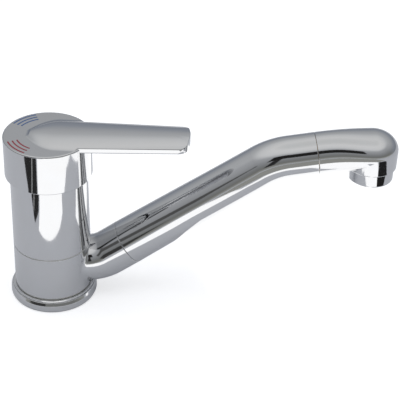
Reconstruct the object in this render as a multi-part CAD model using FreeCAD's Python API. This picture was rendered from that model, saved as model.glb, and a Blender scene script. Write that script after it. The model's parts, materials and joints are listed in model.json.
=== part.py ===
"""Single lever caravan mixer tap, modelled as the separate pieces it is built from.

Units are millimetres and +Z is up. The origin is where the swivel axis meets the worktop.
+X is the front of the tap, where the handle points with the water mixed half and half.
The spout is drawn turned from +X by SPOUT_YAW, as it stands in use.
"""
import FreeCAD
import Part
import math
import os

V = FreeCAD.Vector
ORIGIN = V(0, 0, 0)
X_AXIS = V(1, 0, 0)
Y_AXIS = V(0, 1, 0)
Z_AXIS = V(0, 0, 1)

# Clearances between neighbouring pieces
RUN = 0.06            # radial gap of a turning or sliding fit
SLIP = 0.1            # radial gap of pieces that are pushed together and stay still
FLOAT = 0.05          # gap between two flat faces that turn on each other

# Visible body: one straight taper from the skirt down to the collar's foot
BODY_FOOT_RADIUS = 23.55
BODY_TAPER = 0.85     # the skirt's foot is narrower than the collar's foot by this
BODY_TOP_RADIUS = BODY_FOOT_RADIUS - BODY_TAPER
COLLAR_WALL = 4.13    # at the sealing lands
COLLAR_HEIGHT = 28.4
SHELL_WALL = 2.3      # at the skirt's foot
SHELL_HEIGHT = 49.7
SHELL_LIP_THICK = 3.2
SHELL_RING_SECTION = 1.5
SHELL_RING_RISE = 7.5     # above the foot of the sleeve

# Brass core inside the body
CORE_LAND_RADIUS = BODY_FOOT_RADIUS - COLLAR_WALL
WAIST_DEPTH = 4.22    # depth of the water chamber between the sealing lands
CORE_WAIST_RADIUS = CORE_LAND_RADIUS - WAIST_DEPTH
CORE_CUP_RADIUS = BODY_TOP_RADIUS - SHELL_WALL
CUP_THREAD_WALL = 1.85
CORE_THREAD_BORE = CORE_CUP_RADIUS - CUP_THREAD_WALL
SHELL_LIP_STEP = 0.35     # the sleeve's lip stands back from the nut's thread
SHELL_LIP_BORE = CORE_THREAD_BORE + SHELL_LIP_STEP
CUP_FLOOR = 56.0      # height of the seat that the cartridge stands on
CUP_THREAD_DEPTH = 6.2
LAND_HEIGHT = 6.3     # each sealing land beside the waist
O_RING_SECTION = 2.4  # thickness of the collar's O-rings
O_RING_GROOVE = 2.6

# Base ring and gasket
RING_HEIGHT = 8.0     # worktop to the inner lip of the base ring
RING_OVERHANG = 2.85      # base ring beyond the collar's foot
RING_LIP_OVERHANG = 1.05
RING_RADIUS = BODY_FOOT_RADIUS + RING_OVERHANG
RING_LIP_RADIUS = BODY_FOOT_RADIUS + RING_LIP_OVERHANG
RING_THREAD_STEP = 1.12   # thread of the core under its lower sealing land
RING_THREAD_RADIUS = CORE_LAND_RADIUS - RING_THREAD_STEP
GASKET_LAND = 2.3     # metal left inside the gasket's recess
GASKET_RIM = 2.0      # metal left outside it
GASKET_INNER = RING_THREAD_RADIUS + GASKET_LAND
GASKET_OUTER = RING_RADIUS - GASKET_RIM
GASKET_THICK = 1.6
GLIDE_THICK = 0.5

# Cartridge
CUP_THREAD_STEP = 1.1     # thread bore to the smooth bore below it
CORE_CUP_BORE = CORE_THREAD_BORE - CUP_THREAD_STEP
CART_RADIUS = CORE_CUP_BORE - SLIP
CART_NECK_STEP = 1.35
CART_NECK_RADIUS = CART_RADIUS - CART_NECK_STEP
CART_WALL = 2.65
CART_BORE = CART_RADIUS - CART_WALL
CART_BASE_THICK = 5.5
DISC_SEAT_DEPTH = 1.5
FIXED_DISC_INSET = 1.7
FIXED_DISC_RADIUS = CART_BORE - FIXED_DISC_INSET
FIXED_DISC_THICK = 4.0
MOVING_DISC_INSET = 2.2
MOVING_DISC_RADIUS = FIXED_DISC_RADIUS - MOVING_DISC_INSET
MOVING_DISC_THICK = 3.5
DISC_FILM = 0.03      # water film between the two ceramic discs
DISC_NOTCH_WIDTH = 3.0
DISC_NOTCH_DEPTH = 1.2
MIXING_RADIUS = 4.3   # round middle of the hollow, kept clear of the inlet ports
MIXING_TAIL_RADIUS = 3.6
MIXING_TAIL_X = -4.6
MIXING_DEPTH = 2.0
LOCATING_PEG_RADIUS = 1.25
LOCATING_PEG_LENGTH = 2.0
LOCATING_PEG_X = -6.0
LOCATING_PEG_INSET = 4.35
LOCATING_PEG_Y = CART_RADIUS - LOCATING_PEG_INSET
TURRET_SEAL_SECTION = 1.6
TURRET_SEAL_DROP = 3.8     # below the pivot
CARRIER_OVERHANG = 0.2
CARRIER_RADIUS = MOVING_DISC_RADIUS + CARRIER_OVERHANG
CARRIER_PLATE = 3.0
CARRIER_BLOCK_X = 12.0
CARRIER_BLOCK_Y = 12.4
CARRIER_TOP_DROP = 8.7     # below the pivot
PEG_RADIUS = 1.2
PEG_INSET = 3.2
PEG_SPACING = MOVING_DISC_RADIUS - PEG_INSET
PEG_LENGTH = 1.4
TURRET_NECK_STEP = 2.3
TURRET_NECK_RADIUS = CART_BORE - TURRET_NECK_STEP
TURRET_NECK_HEIGHT = 5.8   # above the pivot
TURRET_BODY_DROP = 7.7     # below the pivot
TURRET_LEG_X = 14.0
TURRET_LEG_INSET = 0.4
TURRET_LEG_REACH = TURRET_NECK_RADIUS - TURRET_LEG_INSET
HOUSING_LIP = 1.1
NUT_FLANGE_THICK = 3.0
NUT_INSET = 2.7       # flange inside the body's top edge
NUT_RADIUS = BODY_TOP_RADIUS - NUT_INSET
NUT_CLEARANCE = 0.6   # round the turret's neck
NUT_BORE = TURRET_NECK_RADIUS + NUT_CLEARANCE
NUT_SLOT_WIDTH = 5.0
NUT_SLOT_DEPTH = 1.4
NUT_SLOTS = 6

# Water ways
PORT_INSET = 6.0      # inlet ports inside the fixed disc's edge
PORT_CIRCLE = FIXED_DISC_RADIUS - PORT_INSET     # distance of the inlet ports from the swivel axis
PORT_ANGLE = 53.0     # degrees of each inlet port from the front
PORT_RADIUS = 3.0
PORT_SLOT_WIDTH = 4.0
PORT_SLOT_SPAN = 22.0     # degrees between the end centres of a curved port
OUTLET_X = -5.5
OUTLET_RADIUS = 3.0
INLET_THREAD_Y = 7.0
INLET_THREAD_RADIUS = 4.5
INLET_THREAD_DEPTH = 12.0
STUD_X = -10.5
STUD_RADIUS = 3.4
STUD_DEPTH = 12.0
PORT_SEAL_SECTION = 1.5
CUP_THREAD_RELIEF = 0.3

# Lever mechanism
PIVOT_ABOVE_SHELL_TOP = -1.5
PIN_RADIUS = 1.5
PIN_INSET = 0.4       # each end of the pin below the turret's neck
PIN_LENGTH = 2 * (TURRET_NECK_RADIUS - PIN_INSET)
STEM_SIDE = 8.0
STEM_ABOVE_PIVOT = 20.8
STEM_BODY_DROP = 5.7
STEM_ARM = 10.0       # pivot to the centre of the ball that drives the disc
STEM_ARM_RADIUS = 2.2
BALL_RADIUS = 3.0
BALL_CLEARANCE = 0.15
LIFT_DEGREES = 18.0

# Handle
SKIRT_OVERLAP = 1.5   # how far the skirt hangs below the top of the body
SKIRT_GAP = 1.5       # inside of the skirt to the body
SKIRT_WALL = 1.4
SKIRT_RADIUS = BODY_TOP_RADIUS + SKIRT_GAP + SKIRT_WALL
SKIRT_DRAFT = 0.2
CAP_HEIGHT = 25.1
CAP_THICK = 3.0
CAP_EDGE_ROUND = 0.8
BOSS_RADIUS = 8.5
BOSS_LENGTH = 10.3
BLADE_REACH = 82.5    # swivel axis to the tip
BLADE_RISE_DEGREES = 1.1
BLADE_AXIS_HEIGHT = 0.2    # blade edge above the cap's top, at the swivel axis
BLADE_HALF_WIDTH = 15.7    # at the swivel axis
BLADE_TAPER = 0.038   # loss of half width per millimetre of reach
BLADE_CROWN = 2.8
BLADE_EDGE_THICK = 3.2
BLADE_TIP_BULGE = 45.0     # plan radius of the rounded tip
BLADE_CORNER = 5.5
NOSE_INSET = 12.1     # where the ridge dies into the flat, inside the cap's rear edge
NOSE_X = NOSE_INSET - SKIRT_RADIUS
NOSE_LENGTH = 20.0    # over which the ridge widens from its nose to the full blade
NOSE_SECTIONS = 7
NOSE_START = 0.06     # first section, as a share of that length
NOSE_SCOOP = 6.0
SCREW_RADIUS = 2.5
SCREW_LENGTH = 6.0
SCREW_SOCKET_FLATS = 2.5
SCREW_SOCKET_DEPTH = 2.5
SCREW_ABOVE_PIVOT = 15.8
PLUG_RADIUS = 3.0
PLUG_THICK = 1.6
MARK_INSET = 2.4      # outer bar inside the edge of the cap
MARK_PITCH = 2.72
MARK_ROWS = 3
MARK_WIDTH = 0.8
MARK_DEPTH = 0.3
MARK_START = 26.0     # degrees from the line straight behind the handle
MARK_SPAN = 39.5

# Spout
SPOUT_YAW = 6.0
STUB_RADIUS = 14.15
STUB_BORE = 8.0
STUB_BEND_RADIUS = 22.5
STUB_LENGTH = 5.65    # body to where the level and the rising centrelines cross
STUB_KINK_X = BODY_FOOT_RADIUS + STUB_LENGTH
SPOUT_RISE = 34.35    # degrees
STUB_RUN = 20.3       # from that crossing to the first joint, along the rise
TUBE_RUN = 124.15     # from that crossing to the upper one
TUBE_BEND_RADIUS = 40.0
TUBE_END_RADIUS = 12.6
TUBE_WALL = 2.5
SPOUT_LEVEL_RISE = 8.3     # degrees, of the upper run where the outlet head starts
LEVEL_RUN = 25.3      # from the upper crossing to the second joint
JOINT_GAP = 0.15
SLEEVE_HALF = 8.0
FIRST_SLEEVE_RADIUS = 12.0
SECOND_SLEEVE_RADIUS = 10.9
SLEEVE_WALL = 2.3
SLEEVE_RING_OFFSET = 4.5
SLEEVE_RING_SECTION = 1.5

# Outlet head and aerator
HEAD_RUN = 33.45      # level distance from the second joint to the nozzle's axis
KNEE_HALF_WIDTH = 14.9     # oval section of the head over the nozzle
KNEE_HALF_HEIGHT = 11.4
KNEE_LIFT = 0.3       # middle of that section above the end of the bore's centreline
KNEE_SECTIONS = 7
KNEE_SINK = 0.12      # the last section lies this much inside the dome
OVAL_MARGIN = 1e-5    # keeps an oval's wide axis the longer one where it is nearly round
NOZZLE_FOOT = 88.5
NOZZLE_EDGE_ROUND = 0.6
HEAD_BORE = 9.0
TURN_HOLLOW_RADIUS = 9.4    # where the water turns down
SPOT_FACE_GAP = 0.3   # round the aerator, where the head is faced flat
AERATOR_THREAD_RADIUS = 11.9
AERATOR_THREAD_TOP = 96.0
AERATOR_RADIUS = 13.6
AERATOR_RIM = 80.4
AERATOR_NECK_TOP = 94.6
AERATOR_BORE = 10.6
AERATOR_LIP = 9.8
AERATOR_LIP_THICK = 1.2
MESH_THICK = 0.5
INSERT_TOP = 93.4
INSERT_HOLES = 12
INSERT_HOLE_RADIUS = 1.1
INSERT_HOLE_CIRCLE = 7.6

# Heights that follow from the sizes above
COLLAR_FOOT = RING_HEIGHT + GLIDE_THICK + FLOAT
COLLAR_TOP = COLLAR_FOOT + COLLAR_HEIGHT
SHELL_FOOT = COLLAR_TOP + FLOAT + GLIDE_THICK
SHELL_TOP = SHELL_FOOT + SHELL_HEIGHT
CUP_TOP = SHELL_TOP - SHELL_LIP_THICK
PIVOT_Z = SHELL_TOP + PIVOT_ABOVE_SHELL_TOP
SKIRT_FOOT = SHELL_TOP - SKIRT_OVERLAP
CAP_TOP = SKIRT_FOOT + CAP_HEIGHT
STUB_AXIS_Z = COLLAR_FOOT + COLLAR_HEIGHT / 2
COLLAR_BORE = CORE_LAND_RADIUS + RUN
WAIST_FOOT = COLLAR_FOOT + LAND_HEIGHT
WAIST_TOP = COLLAR_TOP - LAND_HEIGHT
BASE_TOP = CUP_FLOOR + CART_BASE_THICK
FIXED_DISC_FOOT = BASE_TOP - DISC_SEAT_DEPTH
FIXED_DISC_TOP = FIXED_DISC_FOOT + FIXED_DISC_THICK
MOVING_DISC_FOOT = FIXED_DISC_TOP + DISC_FILM
MOVING_DISC_TOP = MOVING_DISC_FOOT + MOVING_DISC_THICK
CARRIER_TOP = PIVOT_Z - CARRIER_TOP_DROP
BALL_Z = PIVOT_Z - STEM_ARM
TURRET_SHOULDER = SHELL_TOP - SLIP - HOUSING_LIP - FLOAT
BOSS_FOOT = CAP_TOP - CAP_THICK - BOSS_LENGTH


def body_radius(z):
    """Outer radius of the visible body at height z."""
    slope = (BODY_FOOT_RADIUS - BODY_TOP_RADIUS) / (SKIRT_FOOT - COLLAR_FOOT)
    return BODY_TOP_RADIUS + slope * (SKIRT_FOOT - z)


def rounded_outline(corners, to_vector):
    """Closed wire through (a, b, corner radius) points, with tangent arcs at the corners."""
    count = len(corners)
    edges = []
    starts = []
    for i, (a, b, radius) in enumerate(corners):
        here = V(a, b, 0)
        before = V(*corners[i - 1][:2], 0)
        after = V(*corners[(i + 1) % count][:2], 0)
        if radius == 0:
            starts.append((here, here, None))
            continue
        to_before = (before - here).normalize()
        to_after = (after - here).normalize()
        half = to_before.getAngle(to_after) / 2
        reach = radius / math.tan(half)
        bisector = (to_before + to_after).normalize()
        middle = here + bisector * (radius / math.sin(half) - radius)
        starts.append((here + to_before * reach, here + to_after * reach, middle))
    for i, (first, last, middle) in enumerate(starts):
        if middle is not None:
            edges.append(Part.Arc(to_vector(first), to_vector(middle), to_vector(last)).toShape())
        following = starts[(i + 1) % count][0]
        if last.distanceToPoint(following) > 1e-6:
            edges.append(Part.makeLine(to_vector(last), to_vector(following)))
    return Part.Wire(edges)


def turned(*corners):
    """Solid turned about Z from a section given as (radius, height, corner radius) points."""
    section = rounded_outline(corners, lambda p: V(p.x, 0, p.y))
    return Part.Face(section).revolve(ORIGIN, Z_AXIS, 360)


def post(radius, foot, top, x=0.0, y=0.0):
    """Upright round bar between two heights."""
    return Part.makeCylinder(radius, top - foot, V(x, y, foot))


def washer(inner, outer, foot, top, x=0.0, y=0.0):
    """Flat round ring between two heights."""
    return post(outer, foot, top, x, y).cut(post(inner, foot - 1, top + 1, x, y))


def block(x0, x1, y0, y1, z0, z1):
    """Box between two corners."""
    return Part.makeBox(x1 - x0, y1 - y0, z1 - z0, V(x0, y0, z0))


def round_ring(middle_radius, section, z, x=0.0, y=0.0):
    """O-ring lying level."""
    return Part.makeTorus(middle_radius, section / 2, V(x, y, z), Z_AXIS)


def united(first, *others):
    """One solid out of pieces that touch or overlap."""
    return first.fuse(list(others)).removeSplitter()


def spout_point(x, z):
    """Point in the upright plane of the spout."""
    return V(x, 0, z)


def rising(degrees):
    """Unit direction in the spout's plane, climbing from +X by an angle."""
    return V(math.cos(math.radians(degrees)), 0, math.sin(math.radians(degrees)))


STUB_KINK = spout_point(STUB_KINK_X, STUB_AXIS_Z)
FIRST_JOINT = STUB_KINK + rising(SPOUT_RISE) * STUB_RUN
TUBE_KINK = STUB_KINK + rising(SPOUT_RISE) * TUBE_RUN
SECOND_JOINT = TUBE_KINK + rising(SPOUT_LEVEL_RISE) * LEVEL_RUN
NOZZLE_X = SECOND_JOINT.x + HEAD_RUN
HEAD_BEND_RADIUS = HEAD_RUN / math.sin(math.radians(SPOUT_LEVEL_RISE))
HEAD_AXIS_Z = SECOND_JOINT.z + HEAD_BEND_RADIUS * (1 - math.cos(math.radians(SPOUT_LEVEL_RISE)))
KNEE_Z = HEAD_AXIS_Z + KNEE_LIFT


def bar_between(start, direction, length, radius, end_radius=None):
    """Round bar along a direction, tapered when an end radius is given."""
    if end_radius is None or abs(end_radius - radius) < 1e-6:
        return Part.makeCylinder(radius, length, start, direction)
    return Part.makeCone(radius, end_radius, length, start, direction)


def bend(start, start_rise, end_rise, centre_radius, radius):
    """Round bar bent in the spout's plane between two rises; returns it and its end point."""
    side = 1 if end_rise > start_rise else -1
    normal = rising(start_rise + 90 * side)
    centre = start + normal * centre_radius
    profile = Part.Face(Part.Wire(Part.makeCircle(radius, start, rising(start_rise))))
    turn = abs(end_rise - start_rise)
    solid = profile.revolve(centre, V(0, -side, 0), turn)
    return solid, centre - rising(end_rise + 90 * side) * centre_radius


def tangent_length(bend_radius, turn):
    """Distance from the crossing of two straight runs to where their bend starts."""
    return bend_radius * math.tan(math.radians(turn / 2))


def stub_bar(radius, start_x):
    """Round bar along the stub's centreline, from inside the collar to the first joint."""
    lead = tangent_length(STUB_BEND_RADIUS, SPOUT_RISE)
    bend_start = STUB_KINK - X_AXIS * lead
    level = bar_between(spout_point(start_x, STUB_AXIS_Z), X_AXIS, bend_start.x - start_x, radius)
    elbow, bend_end = bend(bend_start, 0, SPOUT_RISE, STUB_BEND_RADIUS, radius)
    rise = bar_between(bend_end, rising(SPOUT_RISE), (FIRST_JOINT - bend_end).Length, radius)
    return united(level, elbow, rise)


def tube_bar(start_radius, end_radius, overrun=0.0):
    """Round bar along the tube's centreline between its two joints."""
    turn = SPOUT_RISE - SPOUT_LEVEL_RISE
    lead = tangent_length(TUBE_BEND_RADIUS, turn)
    rise_dir = rising(SPOUT_RISE)
    level_dir = rising(SPOUT_LEVEL_RISE)
    start = FIRST_JOINT + rise_dir * (JOINT_GAP - overrun)
    bend_start = TUBE_KINK - rise_dir * lead
    rise = bar_between(start, rise_dir, (bend_start - start).Length, start_radius, end_radius)
    elbow, bend_end = bend(bend_start, SPOUT_RISE, SPOUT_LEVEL_RISE, TUBE_BEND_RADIUS, end_radius)
    level_length = (SECOND_JOINT - bend_end).Length + overrun
    level = bar_between(bend_end, level_dir, level_length, end_radius)
    return united(rise, elbow, level)


def base_ring():
    """Rounded foot ring that screws on the core and carries the swivel collar."""
    ring = turned(
        (RING_THREAD_RADIUS + SLIP, 0, 0),
        (RING_RADIUS - 0.8, 0, 0.6),
        (RING_RADIUS, 2.2, 1.6),
        (RING_RADIUS - 0.2, 4.6, 2.0),
        (RING_LIP_RADIUS + 0.5, RING_HEIGHT - 1.3, 0),
        (RING_LIP_RADIUS, RING_HEIGHT - 1.0, 0),
        (RING_LIP_RADIUS, RING_HEIGHT, 0.4),
        (RING_THREAD_RADIUS + SLIP, RING_HEIGHT, 0),
    )
    return ring.cut(washer(GASKET_INNER, GASKET_OUTER, -1, GASKET_THICK))


def base_gasket():
    """Flat rubber ring let into the underside of the base ring."""
    return washer(GASKET_INNER + SLIP, GASKET_OUTER - SLIP, 0, GASKET_THICK)


def glide_ring(foot):
    """Thin plastic ring that the collar turns against."""
    return washer(CORE_LAND_RADIUS + SLIP, body_radius(foot) - 0.3, foot, foot + GLIDE_THICK)


def groove(z):
    """Space of one O-ring groove in a land of the core."""
    half = O_RING_GROOVE / 2
    return washer(COLLAR_BORE - O_RING_SECTION - SLIP, COLLAR_BORE + 1, z - half, z + half)


def land_heights():
    """Middle heights of the two sealing lands."""
    return (COLLAR_FOOT + LAND_HEIGHT / 2, COLLAR_TOP - LAND_HEIGHT / 2)


def inlet_place(side):
    """Plan position of the inlet port: side -1 is hot and side 1 is cold."""
    angle = math.radians(PORT_ANGLE)
    return PORT_CIRCLE * math.cos(angle), side * PORT_CIRCLE * math.sin(angle)


def port_places():
    """Plan positions and radii of the three round ports: hot, cold and mixed."""
    return (
        (*inlet_place(-1), PORT_RADIUS),
        (*inlet_place(1), PORT_RADIUS),
        (OUTLET_X, 0, OUTLET_RADIUS),
    )


def locating_pegs(radius, length):
    """The two upright bars that place the cartridge in the cup's floor."""
    return [
        post(radius, CUP_FLOOR - length, CUP_FLOOR + 1, LOCATING_PEG_X, side * LOCATING_PEG_Y)
        for side in (-1, 1)
    ]


def mixer_core():
    """Brass column with the water ways, the sealing lands and the cup for the cartridge."""
    core = turned(
        (0, 0, 0),
        (RING_THREAD_RADIUS, 0, 0.5),
        (RING_THREAD_RADIUS, RING_HEIGHT, 0),
        (CORE_LAND_RADIUS, RING_HEIGHT, 0.3),
        (CORE_LAND_RADIUS, WAIST_FOOT, 0.3),
        (CORE_WAIST_RADIUS, WAIST_FOOT, 0.8),
        (CORE_WAIST_RADIUS, WAIST_TOP, 0.8),
        (CORE_LAND_RADIUS, WAIST_TOP, 0.3),
        (CORE_LAND_RADIUS, SHELL_FOOT, 0),
        (CORE_CUP_RADIUS, SHELL_FOOT, 0.4),
        (CORE_CUP_RADIUS, CUP_TOP, 0.4),
        (CORE_THREAD_BORE, CUP_TOP, 0.3),
        (CORE_THREAD_BORE, CUP_TOP - CUP_THREAD_DEPTH - CUP_THREAD_RELIEF, 0),
        (CORE_CUP_BORE, CUP_TOP - CUP_THREAD_DEPTH - CUP_THREAD_RELIEF, 0),
        (CORE_CUP_BORE, CUP_FLOOR, 0),
        (0, CUP_FLOOR, 0),
    )
    middle = (WAIST_FOOT + WAIST_TOP) / 2
    cuts = [groove(z) for z in land_heights()]
    half_ring = SHELL_RING_SECTION / 2 + SLIP
    ring_z = SHELL_FOOT + SHELL_RING_RISE
    ring_floor = CORE_CUP_RADIUS + SLIP - SHELL_RING_SECTION - 2 * FLOAT
    cuts.append(washer(ring_floor, CORE_CUP_RADIUS + 1, ring_z - half_ring, ring_z + half_ring))
    for side in (-1, 1):
        x, y = inlet_place(side)
        cuts.append(post(PORT_RADIUS, INLET_THREAD_DEPTH - 1, CUP_FLOOR + 1, x, y))
        cuts.append(post(INLET_THREAD_RADIUS, -1, INLET_THREAD_DEPTH, x, side * INLET_THREAD_Y))
    cuts.extend(locating_pegs(LOCATING_PEG_RADIUS + FLOAT, LOCATING_PEG_LENGTH + SLIP))
    cuts.append(post(STUD_RADIUS, -1, STUD_DEPTH, STUD_X))
    cuts.append(post(OUTLET_RADIUS, middle - OUTLET_RADIUS, CUP_FLOOR + 1, OUTLET_X))
    cuts.append(Part.makeCylinder(OUTLET_RADIUS, COLLAR_BORE, V(OUTLET_X, 0, middle), -X_AXIS))
    return core.cut(cuts)


def collar_o_rings():
    """The two O-rings that seal the collar's water chamber."""
    middle = COLLAR_BORE - RUN - O_RING_SECTION / 2
    return Part.makeCompound([round_ring(middle, O_RING_SECTION, z) for z in land_heights()])


def shell_o_ring():
    """O-ring that steadies and seals the sleeve on the core."""
    middle = CORE_CUP_RADIUS + SLIP - SHELL_RING_SECTION / 2 - FLOAT
    return round_ring(middle, SHELL_RING_SECTION, SHELL_FOOT + SHELL_RING_RISE)


def body_shell():
    """Chromed sleeve over the core, gripped at its top lip by the cartridge nut."""
    bore = CORE_CUP_RADIUS + SLIP
    return turned(
        (bore, SHELL_FOOT, 0.2),
        (body_radius(SHELL_FOOT), SHELL_FOOT, 0.25),
        (body_radius(SHELL_TOP), SHELL_TOP, 0.8),
        (SHELL_LIP_BORE, SHELL_TOP, 0.3),
        (SHELL_LIP_BORE, CUP_TOP, 0),
        (bore, CUP_TOP, 0),
    )


def cartridge_port_seals():
    """Rubber ring round each port, between the cup's floor and the cartridge base."""
    height = CUP_FLOOR + PORT_SEAL_SECTION / 2
    rings = [
        round_ring(radius + PORT_SEAL_SECTION * 0.7, PORT_SEAL_SECTION, height, x, y)
        for x, y, radius in port_places()
    ]
    return Part.makeCompound(rings)


def cartridge_base():
    """Plastic base plate of the cartridge with its three ports and the disc's seat."""
    plate = united(
        post(CART_RADIUS, CUP_FLOOR, BASE_TOP),
        *locating_pegs(LOCATING_PEG_RADIUS, LOCATING_PEG_LENGTH),
    )
    seat = post(FIXED_DISC_RADIUS + SLIP, FIXED_DISC_FOOT, BASE_TOP + 1)
    cuts = [seat.cut(disc_notches(DISC_NOTCH_WIDTH - 2 * SLIP))]
    for x, y, radius in port_places():
        cuts.append(post(radius, CUP_FLOOR - 1, BASE_TOP + 1, x, y))
        outer = radius + PORT_SEAL_SECTION * 1.2 + SLIP
        cuts.append(post(outer, CUP_FLOOR - 1, CUP_FLOOR + PORT_SEAL_SECTION, x, y))
    return plate.cut(cuts)


def disc_notches(width):
    """Spaces of the two side notches that stop the fixed disc from turning."""
    near = FIXED_DISC_RADIUS - DISC_NOTCH_DEPTH
    far = FIXED_DISC_RADIUS + 1
    foot = FIXED_DISC_FOOT - 1
    top = FIXED_DISC_TOP + 1
    return [
        block(-width / 2, width / 2, near, far, foot, top),
        block(-width / 2, width / 2, -far, -near, foot, top),
    ]


def curved_port(side):
    """Space of one curved inlet port with round ends, on the hot or the cold side."""
    foot = FIXED_DISC_FOOT - 1
    top = FIXED_DISC_TOP + 1
    half = PORT_SLOT_WIDTH / 2
    middle = side * PORT_ANGLE
    ring = washer(PORT_CIRCLE - half, PORT_CIRCLE + half, foot, top)
    wedge = Part.makeCylinder(PORT_CIRCLE * 2, top - foot, V(0, 0, foot), Z_AXIS, PORT_SLOT_SPAN)
    wedge.rotate(ORIGIN, Z_AXIS, middle - PORT_SLOT_SPAN / 2)
    ends = []
    for turn in (-PORT_SLOT_SPAN / 2, PORT_SLOT_SPAN / 2):
        angle = math.radians(middle + turn)
        ends.append(post(half, foot, top, PORT_CIRCLE * math.cos(angle), PORT_CIRCLE * math.sin(angle)))
    return united(ring.common(wedge), *ends)


def fixed_ceramic_disc():
    """Ceramic disc that stays still, with two curved inlet ports and the round outlet port."""
    disc = post(FIXED_DISC_RADIUS, FIXED_DISC_FOOT, FIXED_DISC_TOP)
    outlet = post(OUTLET_RADIUS, FIXED_DISC_FOOT - 1, FIXED_DISC_TOP + 1, OUTLET_X)
    return disc.cut([curved_port(-1), curved_port(1), outlet, *disc_notches(DISC_NOTCH_WIDTH)])


def peg_holes(radius, foot, top):
    """The two upright bars where the carrier drives the moving disc."""
    return [post(radius, foot, top, 0, side * PEG_SPACING) for side in (-1, 1)]


def moving_ceramic_disc():
    """Ceramic disc that slides and turns on the fixed one, with the mixing hollow below."""
    disc = post(MOVING_DISC_RADIUS, MOVING_DISC_FOOT, MOVING_DISC_TOP)
    ceiling = MOVING_DISC_FOOT + MIXING_DEPTH
    hollow = united(
        post(MIXING_RADIUS, MOVING_DISC_FOOT - 1, ceiling),
        post(MIXING_TAIL_RADIUS, MOVING_DISC_FOOT - 1, ceiling, MIXING_TAIL_X),
    )
    holes = peg_holes(PEG_RADIUS + RUN, MOVING_DISC_TOP - PEG_LENGTH - SLIP, MOVING_DISC_TOP + 1)
    return disc.cut([hollow, *holes])


def disc_carrier():
    """Plastic carrier above the moving disc, with the socket that the stem's ball works in."""
    plate = post(CARRIER_RADIUS, MOVING_DISC_TOP, MOVING_DISC_TOP + CARRIER_PLATE)
    half_x = CARRIER_BLOCK_X / 2
    half_y = CARRIER_BLOCK_Y / 2
    riser = block(-half_x, half_x, -half_y, half_y, MOVING_DISC_TOP + 1, CARRIER_TOP)
    pegs = peg_holes(PEG_RADIUS, MOVING_DISC_TOP - PEG_LENGTH, MOVING_DISC_TOP + 1)
    socket_foot = BALL_Z - BALL_RADIUS - 1
    socket = post(BALL_RADIUS + BALL_CLEARANCE, socket_foot, CARRIER_TOP + 1)
    return united(plate, riser, *pegs).cut(socket)


def cartridge_turret():
    """Plastic rotor that turns with the handle, guides the carrier and holds the pivot pin."""
    foot = PIVOT_Z - TURRET_BODY_DROP
    guide = CARRIER_BLOCK_Y / 2 + RUN
    body = post(CART_BORE - RUN, foot, TURRET_SHOULDER)
    neck = post(TURRET_NECK_RADIUS, foot, PIVOT_Z + TURRET_NECK_HEIGHT)
    plate_top = MOVING_DISC_TOP + CARRIER_PLATE + FLOAT
    legs = [
        block(-TURRET_LEG_X / 2, TURRET_LEG_X / 2, guide, TURRET_LEG_REACH, plate_top, foot + 1),
        block(-TURRET_LEG_X / 2, TURRET_LEG_X / 2, -TURRET_LEG_REACH, -guide, plate_top, foot + 1),
    ]
    half = STEM_SIDE / 2 + RUN
    swing = math.radians(LIFT_DEGREES)
    ahead = half * math.cos(swing) + STEM_BODY_DROP * math.sin(swing) + 4 * SLIP
    behind = half * math.cos(swing) + TURRET_NECK_HEIGHT * math.tan(swing) * 1.2 + 8 * SLIP
    slot = block(-behind, ahead, -half, half, plate_top - 1, PIVOT_Z + TURRET_NECK_HEIGHT + 1)
    pin_hole = Part.makeCylinder(PIN_RADIUS + SLIP / 5, 40, V(0, -20, PIVOT_Z), Y_AXIS)
    half_seal = TURRET_SEAL_SECTION / 2 + SLIP
    seal_z = PIVOT_Z - TURRET_SEAL_DROP
    seal_floor = CART_BORE - RUN - TURRET_SEAL_SECTION - FLOAT
    groove_space = washer(seal_floor, CART_BORE + 1, seal_z - half_seal, seal_z + half_seal)
    return united(body, neck, *legs).cut([slot, pin_hole, groove_space])


def turret_o_ring():
    """O-ring that seals the turret in the cartridge housing."""
    middle = CART_BORE - RUN - TURRET_SEAL_SECTION / 2
    return round_ring(middle, TURRET_SEAL_SECTION, PIVOT_Z - TURRET_SEAL_DROP)


def lever_pivot_pin():
    """Steel pin across the turret that the stem rocks on."""
    pin = Part.makeCylinder(PIN_RADIUS, PIN_LENGTH, V(0, -PIN_LENGTH / 2, PIVOT_Z), Y_AXIS)
    return pin.makeChamfer(0.3, [e for e in pin.Edges if isinstance(e.Curve, Part.Circle)])


def cartridge_housing():
    """Plastic case round the discs and the turret, with the lip that holds the turret down."""
    shoulder = CUP_TOP - CUP_THREAD_DEPTH
    top = SHELL_TOP - SLIP
    return turned(
        (CART_BORE, BASE_TOP, 0),
        (CART_RADIUS, BASE_TOP, 0),
        (CART_RADIUS, shoulder, 0),
        (CART_NECK_RADIUS, shoulder, 0),
        (CART_NECK_RADIUS, top, 0.3),
        (TURRET_NECK_RADIUS + SLIP, top, 0),
        (TURRET_NECK_RADIUS + SLIP, top - HOUSING_LIP, 0),
        (CART_BORE, top - HOUSING_LIP, 0),
    )


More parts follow.
